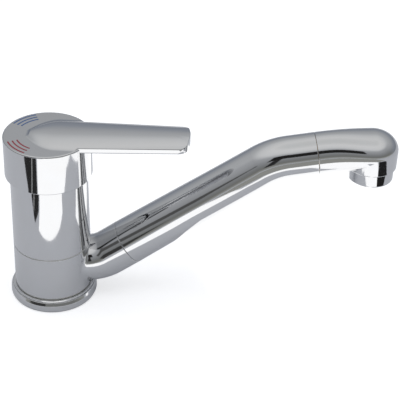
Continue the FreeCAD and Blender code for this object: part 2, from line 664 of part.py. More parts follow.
def cartridge_nut():
    """Brass ring nut that clamps the cartridge and the shell, with slots for its key."""
    skirt_outer = CORE_THREAD_BORE - 0.05
    nut = turned(
        (CART_NECK_RADIUS + SLIP, CUP_TOP - CUP_THREAD_DEPTH, 0),
        (skirt_outer, CUP_TOP - CUP_THREAD_DEPTH, 0.4),
        (skirt_outer, SHELL_TOP, 0),
        (NUT_RADIUS, SHELL_TOP, 0),
        (NUT_RADIUS, SHELL_TOP + NUT_FLANGE_THICK, 0.8),
        (NUT_BORE, SHELL_TOP + NUT_FLANGE_THICK, 0.5),
        (NUT_BORE, SHELL_TOP, 0),
        (CART_NECK_RADIUS + SLIP, SHELL_TOP, 0),
    )
    slots = []
    for i in range(NUT_SLOTS):
        slot = block(NUT_RADIUS - NUT_SLOT_DEPTH, NUT_RADIUS + 2, -NUT_SLOT_WIDTH / 2,
                     NUT_SLOT_WIDTH / 2, SHELL_TOP, SHELL_TOP + NUT_FLANGE_THICK + 1)
        slot.rotate(ORIGIN, Z_AXIS, (i + 0.5) * 360 / NUT_SLOTS)
        slots.append(slot)
    return nut.cut(slots)


def cartridge_stem():
    """Steel stem that the handle sits on, with the arm and ball that shift the disc."""
    half = STEM_SIDE / 2
    square = block(-half, half, -half, half, PIVOT_Z - STEM_BODY_DROP, PIVOT_Z + STEM_ABOVE_PIVOT)
    upright = [
        e for e in square.Edges
        if abs(e.Vertexes[0].Z - e.Vertexes[1].Z) > STEM_SIDE
    ]
    square = square.makeChamfer(0.6, upright)
    arm = post(STEM_ARM_RADIUS, BALL_Z, PIVOT_Z - STEM_BODY_DROP + 1)
    ball = Part.makeSphere(BALL_RADIUS, V(0, 0, BALL_Z))
    pin_hole = Part.makeCylinder(PIN_RADIUS + RUN, 20, V(0, -10, PIVOT_Z), Y_AXIS)
    return united(square, arm, ball).cut(pin_hole)


def blade_edge(x):
    """Half width and edge height of the blade at a distance x from the swivel axis."""
    half_width = BLADE_HALF_WIDTH - BLADE_TAPER * x
    height = CAP_TOP + BLADE_AXIS_HEIGHT + x * math.tan(math.radians(BLADE_RISE_DEGREES))
    return half_width, height


def blade_section(x, width_share=1.0, crown_share=1.0):
    """Arched cross section of the blade at a distance x from the swivel axis."""
    half, edge = blade_edge(x)
    half *= width_share
    top = edge + BLADE_CROWN * crown_share
    low = edge - BLADE_EDGE_THICK
    crown = Part.Arc(V(x, half, edge), V(x, 0, top), V(x, -half, edge)).toShape()
    return Part.Wire([
        Part.makeLine(V(x, -half, low), V(x, half, low)),
        Part.makeLine(V(x, half, low), V(x, half, edge)),
        crown,
        Part.makeLine(V(x, -half, edge), V(x, -half, low)),
    ])


def ridge_nose():
    """Start of the blade on the cap: a ridge that widens from a narrow nose."""
    sections = []
    for i in range(NOSE_SECTIONS):
        share = NOSE_START + (1 - NOSE_START) * i / (NOSE_SECTIONS - 1)
        width_share = 1 - (1 - share) ** 2
        crown_share = 1 - (1 - share) ** 4
        sections.append(blade_section(NOSE_X + NOSE_LENGTH * share, width_share, crown_share))
    return Part.makeLoft(sections, True, False)


def blade_plan():
    """Upright prism that trims the tip of the blade to its rounded plan."""
    tip_half, _ = blade_edge(BLADE_REACH)
    sag = BLADE_TIP_BULGE - math.sqrt(BLADE_TIP_BULGE ** 2 - tip_half ** 2)
    corner_x = BLADE_REACH - sag
    corner_half, _ = blade_edge(corner_x)
    back_half, _ = blade_edge(-BLADE_REACH)
    outline = rounded_outline(
        (
            (-BLADE_REACH, -back_half, 0),
            (corner_x, -corner_half, BLADE_CORNER),
            (BLADE_REACH, 0, BLADE_TIP_BULGE / 2),
            (corner_x, corner_half, BLADE_CORNER),
            (-BLADE_REACH, back_half, 0),
        ),
        lambda p: V(p.x, p.y, 0),
    )
    return Part.Face(outline).extrude(Z_AXIS * (CAP_TOP * 2))


def handle_blade():
    """Arched blade that runs out of the cap and rises gently to its tip."""
    shoulder_x = NOSE_X + NOSE_LENGTH
    blade = Part.makeLoft([blade_section(shoulder_x), blade_section(BLADE_REACH)], True, True)
    blade = united(ridge_nose(), blade.common(blade_plan()))
    scoop = Part.makeCylinder(NOSE_SCOOP, 60, V(NOSE_X, -30, CAP_TOP + NOSE_SCOOP), Y_AXIS)
    return blade.cut(scoop)


def mark_arc(radius, start, depth):
    """One curved bar sunk in the flat of the cap, starting at an angle."""
    bar = washer(radius - MARK_WIDTH / 2, radius + MARK_WIDTH / 2, CAP_TOP - depth, CAP_TOP)
    wedge = Part.makeCylinder(40, depth + 2, V(0, 0, CAP_TOP - depth - 1), Z_AXIS, MARK_SPAN)
    wedge.rotate(ORIGIN, Z_AXIS, start)
    return bar.common(wedge)


def temperature_marks(hot):
    """Three curved bars behind the handle, on the hot or on the cold side."""
    start = 180 + MARK_START if hot else 180 - MARK_START - MARK_SPAN
    outer = SKIRT_RADIUS - MARK_INSET
    rows = [mark_arc(outer - MARK_PITCH * row, start, MARK_DEPTH) for row in range(MARK_ROWS)]
    return Part.makeCompound(rows)


def lever_handle():
    """Cap and blade in one casting, hollow below, with the boss that grips the stem."""
    inner = SKIRT_RADIUS - SKIRT_WALL
    ceiling = CAP_TOP - CAP_THICK
    cap = turned(
        (0, ceiling, 0),
        (inner - SKIRT_DRAFT, ceiling, 1.5),
        (inner, SKIRT_FOOT, 0),
        (SKIRT_RADIUS, SKIRT_FOOT, 0.5),
        (SKIRT_RADIUS - SKIRT_DRAFT, CAP_TOP, CAP_EDGE_ROUND),
        (0, CAP_TOP, 0),
    )
    hollow = post(inner - 2 * SKIRT_DRAFT, SKIRT_FOOT, ceiling)
    blade = handle_blade().cut(hollow)
    boss = post(BOSS_RADIUS, BOSS_FOOT, ceiling + 1)
    side = STEM_SIDE / 2 + FLOAT
    stem_top = PIVOT_Z + STEM_ABOVE_PIVOT
    screw_z = PIVOT_Z + SCREW_ABOVE_PIVOT
    handle = united(cap, blade, boss)
    return handle.cut([
        block(-side, side, -side, side, BOSS_FOOT - 1, stem_top + FLOAT),
        Part.makeCylinder(SCREW_RADIUS, BOSS_RADIUS, V(0, 0, screw_z), X_AXIS),
        Part.makeCylinder(PLUG_RADIUS, 10, V(inner - 3, 0, screw_z), X_AXIS),
        temperature_marks(True),
        temperature_marks(False),
    ])


def lever_grub_screw():
    """Socket grub screw that locks the boss on the stem."""
    screw_z = PIVOT_Z + SCREW_ABOVE_PIVOT
    start = STEM_SIDE / 2
    screw = Part.makeCylinder(SCREW_RADIUS - 0.02, SCREW_LENGTH, V(start, 0, screw_z), X_AXIS)
    flats = Part.makePolygon([
        V(0, SCREW_SOCKET_FLATS / math.sqrt(3) * math.cos(math.radians(60 * i)),
          SCREW_SOCKET_FLATS / math.sqrt(3) * math.sin(math.radians(60 * i)))
        for i in range(7)
    ])
    socket = Part.Face(flats).extrude(X_AXIS * (SCREW_SOCKET_DEPTH + 1))
    socket.translate(V(start + SCREW_LENGTH - SCREW_SOCKET_DEPTH, 0, screw_z))
    return screw.cut(socket)


def screw_hole_plug():
    """Small round plug that closes the screw's hole under the blade."""
    screw_z = PIVOT_Z + SCREW_ABOVE_PIVOT
    outer = SKIRT_RADIUS - SKIRT_DRAFT - 0.4
    plug = Part.makeCylinder(PLUG_RADIUS - FLOAT, PLUG_THICK + 2, V(outer - PLUG_THICK, 0, screw_z), X_AXIS)
    return plug.common(post(outer, screw_z - 10, screw_z + 10))


def joint_bore(joint, direction, radius, depth):
    """Space for half a joint sleeve, sunk back from a joint face."""
    return Part.makeCylinder(radius, depth, joint, direction)


def swivel_collar():
    """Turning collar of the body with the stub that carries the spout tube."""
    collar = turned(
        (CORE_WAIST_RADIUS, COLLAR_FOOT, 0),
        (body_radius(COLLAR_FOOT), COLLAR_FOOT, 0.4),
        (body_radius(COLLAR_TOP), COLLAR_TOP, 0.25),
        (CORE_WAIST_RADIUS, COLLAR_TOP, 0),
    )
    stub = stub_bar(STUB_RADIUS, CORE_WAIST_RADIUS + 1)
    body = united(collar, stub)
    back = -rising(SPOUT_RISE)
    face = FIRST_JOINT + rising(SPOUT_RISE) * 1.0
    return body.cut([
        post(COLLAR_BORE, COLLAR_FOOT - 1, COLLAR_TOP + 1),
        stub_bar(STUB_BORE, 1.0),
        joint_bore(face, back, FIRST_SLEEVE_RADIUS + FLOAT, SLEEVE_HALF + 1.0 + SLIP),
    ])


def joint_sleeve(joint, rise, radius):
    """Plain sleeve that joins two lengths of the spout, with an O-ring groove on each side."""
    axis = rising(rise)
    start = joint - axis * SLEEVE_HALF
    sleeve = Part.makeCylinder(radius, 2 * SLEEVE_HALF, start, axis)
    cuts = [Part.makeCylinder(radius - SLEEVE_WALL, 2 * SLEEVE_HALF + 2, start - axis, axis)]
    width = SLEEVE_RING_SECTION + 2 * SLIP
    floor = radius - SLEEVE_RING_SECTION
    for side in (-1, 1):
        foot = joint + axis * (side * SLEEVE_RING_OFFSET - width / 2)
        outer = Part.makeCylinder(radius + 1, width, foot, axis)
        cuts.append(outer.cut(Part.makeCylinder(floor, width, foot, axis)))
    return sleeve.cut(cuts)


def joint_o_rings(joint, rise, radius):
    """The two O-rings of one joint sleeve."""
    axis = rising(rise)
    middle = radius - SLEEVE_RING_SECTION / 2
    return Part.makeCompound([
        Part.makeTorus(middle, SLEEVE_RING_SECTION / 2, joint + axis * (side * SLEEVE_RING_OFFSET), axis)
        for side in (-1, 1)
    ])


def spout_tube():
    """Rising tube that tapers gently, then bends over towards the outlet."""
    outer = tube_bar(STUB_RADIUS, TUBE_END_RADIUS)
    bore = tube_bar(STUB_RADIUS - TUBE_WALL, TUBE_END_RADIUS - TUBE_WALL, 1.0)
    low_face = FIRST_JOINT - rising(SPOUT_RISE)
    high_face = SECOND_JOINT + rising(SPOUT_LEVEL_RISE)
    depth = SLEEVE_HALF + 1.0 + SLIP
    return outer.cut([
        bore,
        joint_bore(low_face, rising(SPOUT_RISE), FIRST_SLEEVE_RADIUS + FLOAT, depth),
        joint_bore(high_face, -rising(SPOUT_LEVEL_RISE), SECOND_SLEEVE_RADIUS + FLOAT, depth),
    ])


def head_waterway(radius, start):
    """Round bar along the outlet head's centreline, flattening out over the nozzle."""
    solid, _ = bend(start, SPOUT_LEVEL_RISE, 0, HEAD_BEND_RADIUS, radius)
    return solid


def head_section(share):
    """Oval section of the outlet head, at a share of the way from the joint to the nozzle."""
    start = SECOND_JOINT + rising(SPOUT_LEVEL_RISE) * JOINT_GAP
    run = NOZZLE_X - start.x
    climb = run * math.tan(math.radians(SPOUT_LEVEL_RISE))
    settled = share * share * (3 - 2 * share)
    z = start.z + (KNEE_Z - start.z) * settled + climb * share * (1 - share) ** 2
    slope = (6 * share * (1 - share) * (KNEE_Z - start.z) + climb * (1 - share) * (1 - 3 * share)) / run
    growth = settled ** 1.5
    half_width = TUBE_END_RADIUS + (KNEE_HALF_WIDTH - KNEE_SINK - TUBE_END_RADIUS) * growth
    half_height = TUBE_END_RADIUS + (KNEE_HALF_HEIGHT - KNEE_SINK - TUBE_END_RADIUS) * growth
    centre = spout_point(start.x + run * share, z)
    across = V(0, half_width, 0)
    upward = rising(math.degrees(math.atan(slope)) + 90) * min(half_height, half_width - OVAL_MARGIN)
    return Part.Wire(Part.Ellipse(centre + across, centre + upward, centre).toShape())


def head_body():
    """Bar of the outlet head, round at the joint and flattened to a wide oval over the nozzle."""
    shares = [i / (KNEE_SECTIONS - 1) for i in range(KNEE_SECTIONS)]
    return Part.makeLoft([head_section(share) for share in shares], True, False)


def oval_dome(radius, height):
    """Upper half of a flattened ball over the nozzle."""
    flatten = FreeCAD.Matrix()
    flatten.scale(1, 1, height / radius)
    ball = Part.makeSphere(radius).transformGeometry(flatten)
    ball.translate(V(NOZZLE_X, 0, KNEE_Z))
    above = block(NOZZLE_X - 2 * radius, NOZZLE_X + 2 * radius, -2 * radius, 2 * radius,
                  KNEE_Z, KNEE_Z + 2 * height)
    return ball.common(above)


def nozzle_body():
    """Upright round nozzle under the dome."""
    return at_nozzle(turned(
        (0, NOZZLE_FOOT, 0),
        (KNEE_HALF_WIDTH, NOZZLE_FOOT, NOZZLE_EDGE_ROUND),
        (KNEE_HALF_WIDTH, KNEE_Z, 0),
        (0, KNEE_Z, 0),
    ))


def outlet_head():
    """Domed elbow that turns the water down, threaded below for the aerator."""
    outer = united(head_body(), united(oval_dome(KNEE_HALF_WIDTH, KNEE_HALF_HEIGHT), nozzle_body()))
    level_dir = rising(SPOUT_LEVEL_RISE)
    depth = SLEEVE_HALF + 1.0 + SLIP
    waterway = united(
        head_waterway(HEAD_BORE, SECOND_JOINT - level_dir * 0.5),
        Part.makeSphere(TURN_HOLLOW_RADIUS, V(NOZZLE_X, 0, KNEE_Z)),
        post(TURN_HOLLOW_RADIUS, NOZZLE_FOOT - 1, KNEE_Z, NOZZLE_X),
        post(AERATOR_THREAD_RADIUS + FLOAT, NOZZLE_FOOT - 1, AERATOR_THREAD_TOP, NOZZLE_X),
        joint_bore(SECOND_JOINT - level_dir, level_dir, SECOND_SLEEVE_RADIUS + FLOAT, depth),
    )
    spot_face = post(AERATOR_RADIUS + SPOT_FACE_GAP, AERATOR_RIM, NOZZLE_FOOT, NOZZLE_X)
    return outer.cut([waterway, spot_face])


def at_nozzle(solid):
    """Move a solid drawn on the swivel axis to the nozzle's axis."""
    solid.translate(V(NOZZLE_X, 0, 0))
    return solid


def aerator_ring():
    """Chromed housing that screws into the outlet head and holds the aerator."""
    return at_nozzle(turned(
        (AERATOR_LIP, AERATOR_RIM, 0.3),
        (AERATOR_RADIUS, AERATOR_RIM, 0.8),
        (AERATOR_RADIUS, NOZZLE_FOOT - FLOAT, 0.3),
        (AERATOR_THREAD_RADIUS, NOZZLE_FOOT - FLOAT, 0),
        (AERATOR_THREAD_RADIUS, AERATOR_NECK_TOP, 0.4),
        (AERATOR_BORE, AERATOR_NECK_TOP, 0),
        (AERATOR_BORE, AERATOR_RIM + AERATOR_LIP_THICK, 0),
        (AERATOR_LIP, AERATOR_RIM + AERATOR_LIP_THICK, 0),
    ))


def aerator_mesh():
    """Fine steel screen that lies on the housing's lip."""
    foot = AERATOR_RIM + AERATOR_LIP_THICK
    return at_nozzle(post(AERATOR_BORE - SLIP, foot, foot + MESH_THICK))


def aerator_insert():
    """Plastic flow straightener with its ring of jet holes."""
    foot = AERATOR_RIM + AERATOR_LIP_THICK + MESH_THICK
    body = post(AERATOR_BORE - SLIP, foot, INSERT_TOP)
    holes = [
        post(INSERT_HOLE_RADIUS, foot - 1, INSERT_TOP + 1,
             INSERT_HOLE_CIRCLE * math.cos(math.radians(i * 360 / INSERT_HOLES)),
             INSERT_HOLE_CIRCLE * math.sin(math.radians(i * 360 / INSERT_HOLES)))
        for i in range(INSERT_HOLES)
    ]
    return at_nozzle(body.cut(holes))


def aerator_washer():
    """Rubber washer between the aerator's neck and the shoulder in the head."""
    inner = TURN_HOLLOW_RADIUS + SLIP
    return at_nozzle(washer(inner, AERATOR_THREAD_RADIUS - SLIP, AERATOR_NECK_TOP, AERATOR_THREAD_TOP))


def fixed_pieces():
    """Pieces that stay still on the worktop."""
    return {
        "base_ring": base_ring(),
        "base_gasket": base_gasket(),
        "lower_glide_ring": glide_ring(RING_HEIGHT),
        "mixer_core": mixer_core(),
        "collar_o_rings": collar_o_rings(),
        "upper_glide_ring": glide_ring(COLLAR_TOP + FLOAT),
        "body_shell": body_shell(),
        "shell_o_ring": shell_o_ring(),
        "cartridge_port_seals": cartridge_port_seals(),
        "cartridge_base": cartridge_base(),
        "fixed_ceramic_disc": fixed_ceramic_disc(),
        "cartridge_housing": cartridge_housing(),
        "cartridge_nut": cartridge_nut(),
    }


def handle_pieces():
    """Pieces that follow the handle."""
    return {
        "cartridge_turret": cartridge_turret(),
        "turret_o_ring": turret_o_ring(),
        "lever_pivot_pin": lever_pivot_pin(),
        "moving_ceramic_disc": moving_ceramic_disc(),
        "disc_carrier": disc_carrier(),
        "cartridge_stem": cartridge_stem(),
        "lever_handle": lever_handle(),
        "lever_grub_screw": lever_grub_screw(),
        "screw_hole_plug": screw_hole_plug(),
        "hot_marks": temperature_marks(True),
        "cold_marks": temperature_marks(False),
    }


def spout_pieces():
    """Pieces that swing with the spout, turned to its resting direction."""
    pieces = {
        "swivel_collar": swivel_collar(),
        "spout_joint_sleeve": joint_sleeve(FIRST_JOINT, SPOUT_RISE, FIRST_SLEEVE_RADIUS),
        "spout_joint_o_rings": joint_o_rings(FIRST_JOINT, SPOUT_RISE, FIRST_SLEEVE_RADIUS),
        "spout_tube": spout_tube(),
        "head_joint_sleeve": joint_sleeve(SECOND_JOINT, SPOUT_LEVEL_RISE, SECOND_SLEEVE_RADIUS),
        "head_joint_o_rings": joint_o_rings(SECOND_JOINT, SPOUT_LEVEL_RISE, SECOND_SLEEVE_RADIUS),
        "outlet_head": outlet_head(),
        "aerator_washer": aerator_washer(),
        "aerator_insert": aerator_insert(),
        "aerator_mesh": aerator_mesh(),
        "aerator_ring": aerator_ring(),
    }
    for shape in pieces.values():
        shape.rotate(ORIGIN, Z_AXIS, SPOUT_YAW)
    return pieces


def main():
    """Build every piece, report it and write one STEP file for each."""
    os.makedirs("parts", exist_ok=True)
    for pieces in (fixed_pieces(), handle_pieces(), spout_pieces()):
        for name, shape in pieces.items():
            box = shape.BoundBox
            print(f"{name:22s} solids {len(shape.Solids)} valid {shape.isValid()} "
                  f"volume {shape.Volume:9.1f}  z {box.ZMin:6.2f} to {box.ZMax:6.2f}")
            shape.exportStep(f"parts/{name}.step")
    print(f"cap top {CAP_TOP:.2f}, pivot {PIVOT_Z:.2f}, shell top {SHELL_TOP:.2f}, "
          f"head axis {HEAD_AXIS_Z:.2f}, second joint {SECOND_JOINT.x:.2f} {SECOND_JOINT.z:.2f}")


main()
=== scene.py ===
"""Looks of the caravan mixer tap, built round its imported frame.

Sizes are millimetres in the classes and metres in the finished meshes. +Z is up, the swivel axis is
the Z axis, and +X is the front of the tap. The spout's own plane is turned from +X by SPOUT_YAW.
"""

import json
import logging
import math
from dataclasses import dataclass
from enum import Enum
from typing import Callable, Iterable, Sequence

import bmesh
import bpy
from mathutils import Matrix, Vector

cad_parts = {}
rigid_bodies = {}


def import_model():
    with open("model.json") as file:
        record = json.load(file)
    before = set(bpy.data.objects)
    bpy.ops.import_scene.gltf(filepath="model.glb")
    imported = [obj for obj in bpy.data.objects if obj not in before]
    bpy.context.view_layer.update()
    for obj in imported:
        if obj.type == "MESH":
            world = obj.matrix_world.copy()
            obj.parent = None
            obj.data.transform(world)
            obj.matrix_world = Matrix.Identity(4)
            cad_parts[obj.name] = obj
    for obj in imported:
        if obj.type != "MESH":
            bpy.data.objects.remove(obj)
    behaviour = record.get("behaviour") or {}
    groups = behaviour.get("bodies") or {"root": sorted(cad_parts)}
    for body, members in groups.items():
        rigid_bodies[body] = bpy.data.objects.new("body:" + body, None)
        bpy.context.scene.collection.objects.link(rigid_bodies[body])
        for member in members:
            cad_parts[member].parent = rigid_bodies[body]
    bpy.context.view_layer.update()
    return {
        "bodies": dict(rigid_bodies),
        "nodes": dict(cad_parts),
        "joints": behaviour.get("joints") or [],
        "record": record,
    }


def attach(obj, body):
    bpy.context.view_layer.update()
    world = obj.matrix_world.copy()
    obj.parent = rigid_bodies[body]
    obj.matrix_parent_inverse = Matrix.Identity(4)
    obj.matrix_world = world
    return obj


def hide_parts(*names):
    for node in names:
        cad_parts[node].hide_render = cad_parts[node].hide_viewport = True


LOG = logging.getLogger("mixer_tap")
MM = 0.001
SPOUT_YAW = 6.0
# Degrees between two faces above which their edge stays sharp
CREASE = 32.0
# Radius that stands for the axis itself, where a turned section closes
ON_AXIS = 0.001
# Distance of a guard point from its arc, and from a seam to the last plain ring of a tube
GUARD = 0.12
SEAM_LEAD = 0.4

Colour = tuple[float, float, float, float]
Point = tuple[float, float, float]
Pair = tuple[float, float]
# Radius, height and rounding of a turned section's corner
Corner = tuple[float, float, float]
# Point of a centreline in the spout's plane, and its rise there in degrees
Station = tuple[Vector, float]


class Body(Enum):
    """Rigid bodies of the frame that pieces ride on."""

    FIXED = "mixer_body"
    LEVER = "lever_lift_body"
    SPOUT = "spout_body"


class Slot(Enum):
    """Material slots of the record."""

    CHROME = "chrome_plate"
    BRASS = "brass"
    RUBBER = "black_rubber"
    ACETAL = "acetal"
    CERAMIC = "ceramic"
    STEEL = "stainless_steel"
    PLUG = "grey_plastic"
    HOT = "red_enamel"
    COLD = "blue_enamel"


# Small helpers


def linear(hex_colour: str) -> Colour:
    """Turn an sRGB hex colour such as "c8ccd0" into the linear colour that a socket takes.

    Args:
        hex_colour: Six hex digits.

    Returns:
        Linear red, green and blue, and full alpha.
    """
    parts = [int(hex_colour[i:i + 2], 16) / 255 for i in (0, 2, 4)]
    return (*[c / 12.92 if c <= 0.04045 else ((c + 0.055) / 1.055) ** 2.4 for c in parts], 1.0)


def add_node(tree: bpy.types.NodeTree, kind: str, settings: dict | None = None,
             links: dict | None = None) -> bpy.types.Node:
    """Add one node to a tree.

    Args:
        tree: Tree that gets the node.
        kind: Blender's name of the node type.
        settings: Attribute names, or input names and indices, with their values.
        links: Input names or indices with the sockets that feed them, or nodes for their first output.

    Returns:
        The new node.
    """
    node = tree.nodes.new(kind)
    for key, value in (settings or {}).items():
        if isinstance(key, str) and hasattr(node, key):
            setattr(node, key, value)
        else:
            node.inputs[key].default_value = value
    for key, source in (links or {}).items():
        socket = source.outputs[0] if isinstance(source, bpy.types.Node) else source
        tree.links.new(socket, node.inputs[key])
    return node


def blank_material(name: str) -> bpy.types.Material:
    """Make a material with an empty node tree.

    Args:
        name: Name of the material.

    Returns:
        The new material.
    """
    material = bpy.data.materials.new(name)
    material.use_nodes = True
    material.node_tree.nodes.clear()
    return material


def linked_object(name: str, data: bpy.types.ID) -> bpy.types.Object:
    """Make an object at the origin and link it to the scene.

    Args:
        name: Name of the object.
        data: Its mesh, lamp or camera.

    Returns:
        The new object.
    """
    made = bpy.data.objects.new(name, data)
    bpy.context.scene.collection.objects.link(made)
    return made


def panel(name: str, corners: Sequence[Point], material: bpy.types.Material) -> bpy.types.Object:
    """Make a flat panel with one face and stage it.

    Args:
        name: Name of the panel.
        corners: Corner points in millimetres, in order.
        material: Its material.

    Returns:
        The staged panel.
    """
    mesh = bpy.data.meshes.new(name)
    mesh.from_pydata([(x * MM, y * MM, z * MM) for x, y, z in corners], [], [tuple(range(len(corners)))])
    mesh.materials.append(material)
    made = linked_object(name, mesh)
    return made


def mesh_piece(name: str, points: Sequence[Point], faces: Iterable[Sequence[int]]) -> bpy.types.Object:
    """Make a closed, smooth shaded piece with merged points and every face turned outwards.

    Args:
        name: Name of the piece.
        points: Corner points in millimetres.
        faces: Corner numbers of each face.

    Returns:
        The linked object, at the origin.
    """
    mesh = bpy.data.meshes.new(name)
    mesh.from_pydata([(x * MM, y * MM, z * MM) for x, y, z in points], [], [tuple(f) for f in faces])
    mesh.validate()
    mesh.polygons.foreach_set("use_smooth", [True] * len(mesh.polygons))
    work = bmesh.new()
    work.from_mesh(mesh)
    bmesh.ops.remove_doubles(work, verts=work.verts, dist=1e-7)
    bmesh.ops.dissolve_degenerate(work, edges=work.edges, dist=1e-8)
    bmesh.ops.recalc_face_normals(work, faces=work.faces)
    work.to_mesh(mesh)
    work.free()
    mesh.set_sharp_from_angle(angle=math.radians(CREASE))
    return linked_object(name, mesh)


def grid_faces(rings: int, around: int) -> list[tuple[int, int, int, int]]:
    """Number the faces between closed rings of points that follow each other.

    Args:
        rings: How many rings there are.
        around: Points in each ring.

    Returns:
        Four corner numbers for each face.
    """
    faces = []
    for i in range(rings - 1):
        for j in range(around):
            k = (j + 1) % around
            a, b = i * around, (i + 1) * around
            faces.append((a + j, a + k, b + k, b + j))
    return faces


def turn_about_z(point: Point, degrees: float) -> Point:
    """Turn a point about the swivel axis."""
    c, s = math.cos(math.radians(degrees)), math.sin(math.radians(degrees))
    return point[0] * c - point[1] * s, point[0] * s + point[1] * c, point[2]


def heading(rise: float) -> Vector:
    """Unit direction in the spout's plane, from its rise in degrees."""
    return Vector((math.cos(math.radians(rise)), math.sin(math.radians(rise))))


def edge_profile(corners: Sequence[Corner], arc_steps: int = 6, guard: float = GUARD) -> list[Pair]:
    """Round the corners of a closed section, with a guard point each side of every arc.

    The guard points keep the bend of the shading close to the arc, so the flats stay flat.

    Args:
        corners: Two coordinates and the rounding of each corner.
        arc_steps: Steps along each arc.
        guard: Distance of the guard points.

    Returns:
        The section's points in order.
    """
    count = len(corners)
    section: list[Pair] = []
    for i, (a, b, radius) in enumerate(corners):
        here = Vector((a, b))
        before = (Vector(corners[i - 1][:2]) - here).normalized()
        after = (Vector(corners[(i + 1) % count][:2]) - here).normalized()
        if radius <= 0:
            section += [tuple(here + before * guard), tuple(here), tuple(here + after * guard)]
            continue
        half = before.angle(after) / 2
        reach = radius / math.tan(half)
        centre = here + (before + after).normalized() * (radius / math.sin(half))
        start, end = here + before * reach, here + after * reach
        section.append(tuple(start + before * guard))
        first, last = start - centre, end - centre
        sweep = first.angle(last)
        for k in range(arc_steps + 1):
            t = k / arc_steps
            blend = (first * math.sin((1 - t) * sweep) + last * math.sin(t * sweep)) / math.sin(sweep)
            section.append(tuple(centre + blend))
        section.append(tuple(end + after * guard))
    return section


def turned_piece(name: str, section: Sequence[Pair], steps: int = 160, x: float = 0.0,
                 yaw: float = 0.0) -> bpy.types.Object:
    """Turn a closed section about an upright axis, as on a lathe.

    Args:
        name: Name of the piece.
        section: Section as (radius, height) points, outer side going up.
        steps: Steps round the axis.
        x: Distance of the axis from the swivel axis.
        yaw: Turn of the piece about the swivel axis in degrees.

    Returns:
        The turned object.
    """
    points: list[Point] = []
    for r, z in section:
        reach = max(r, 0)
        for j in range(steps):
            angle = 2 * math.pi * j / steps
            points.append(turn_about_z((x + reach * math.cos(angle), reach * math.sin(angle), z), yaw))
    faces = [tuple(reversed(f)) for f in grid_faces(len(section), steps)]
    last = (len(section) - 1) * steps
    for j in range(steps):
        k = (j + 1) % steps
        faces.append((j, k, last + k, last + j))
    return mesh_piece(name, points, faces)


def ring_points(centre: Vector, rise: float, half_width: float, half_height: float,
                around: int) -> list[Point]:
    """Points of one oval section of the spout, square to its centreline.

    Args:
        centre: Middle of the section in the spout's plane.
        rise: Rise of the centreline in degrees.
        half_width: Half width across the spout's plane.
        half_height: Half height in the spout's plane.
        around: Number of points.

    Returns:
        The points, starting at the top.
    """
    up = Vector((-math.sin(math.radians(rise)), math.cos(math.radians(rise))))
    ring = []
    for j in range(around):
        angle = 2 * math.pi * j / around
        offset = centre + up * (half_height * math.cos(angle))
        ring.append(turn_about_z((offset.x, half_width * math.sin(angle), offset.y), SPOUT_YAW))
    return ring


def softened_end(centre: Vector, rise: float, radius: float, inwards: int, around: int,
                 soft: float = 0.25, face: float = 3.0, steps: int = 4) -> list[list[Point]]:
    """Rings that round off the rim at a seam, from its end face to the body of the tube.

    Args:
        centre: Middle of the end face.
        rise: Rise of the centreline in degrees.
        radius: Outer radius.
        inwards: 1 where the tube lies further along the centreline, -1 where it lies before it.
        around: Points in each ring.
        soft: Radius of the rounding.
        face: Width of the end face's outer band.
        steps: Steps along the rounding.

    Returns:
        The rings, the end face's first.
    """
    along = heading(rise) * inwards
    rings = [ring_points(centre, rise, r, r, around) for r in (radius - face, radius - soft - 0.1)]
    for i in range(steps + 1):
        turn = math.pi / 2 * i / steps
        r = radius - soft + soft * math.sin(turn)
        rings.append(ring_points(centre + along * soft * (1 - math.cos(turn)), rise, r, r, around))
    rings.append(ring_points(centre + along * (soft + GUARD), rise, radius, radius, around))
    return rings


def swept_piece(name: str, rings: Sequence[Sequence[Point]]) -> bpy.types.Object:
    """Join rings of points into a closed skin with flat ends.

    Args:
        name: Name of the piece.
        rings: Rings with equal numbers of points.

    Returns:
        The closed object.
    """
    around = len(rings[0])
    points = [p for ring in rings for p in ring]
    faces: list[Sequence[int]] = list(grid_faces(len(rings), around))
    for first, ring in ((0, rings[0]), ((len(rings) - 1) * around, rings[-1])):
        points.append(tuple(sum(p[i] for p in ring) / around for i in range(3)))
        for j in range(around):
            faces.append((first + j, first + (j + 1) % around, len(points) - 1))
    return mesh_piece(name, points, faces)


def cut_away(piece: bpy.types.Object, cutter: bpy.types.Object) -> bpy.types.Object:
    """Take the space of a cutter out of a closed piece.

    Args:
        piece: Piece that keeps its surface outside the cutter.
        cutter: Closed object, used up by the cut.

    Returns:
        The same object with its new mesh.
    """
    step = piece.modifiers.new("cut", "BOOLEAN")
    step.object, step.operation, step.solver = cutter, "DIFFERENCE", "EXACT"
    graph = bpy.context.evaluated_depsgraph_get()
    graph.update()
    mesh = bpy.data.meshes.new_from_object(piece.evaluated_get(graph))
    piece.modifiers.remove(step)
    piece.data = mesh
    mesh.set_sharp_from_angle(angle=math.radians(CREASE))
    bpy.data.objects.remove(cutter)
    return piece


def joined(name: str, first: bpy.types.Object, *others: bpy.types.Object) -> bpy.types.Object:
    """Join pieces of one casting into a single mesh.

    Args:
        name: Name of the result.
        first: Piece that takes in the others.
        others: Pieces that are used up.

    Returns:
        The joined object.
    """
    work = bmesh.new()
    for piece in (first, *others):
        work.from_mesh(piece.data)
    work.to_mesh(first.data)
    work.free()
    for piece in others:
        bpy.data.objects.remove(piece)
    first.data.set_sharp_from_angle(angle=math.radians(CREASE))
    first.name = first.data.name = name
    return first


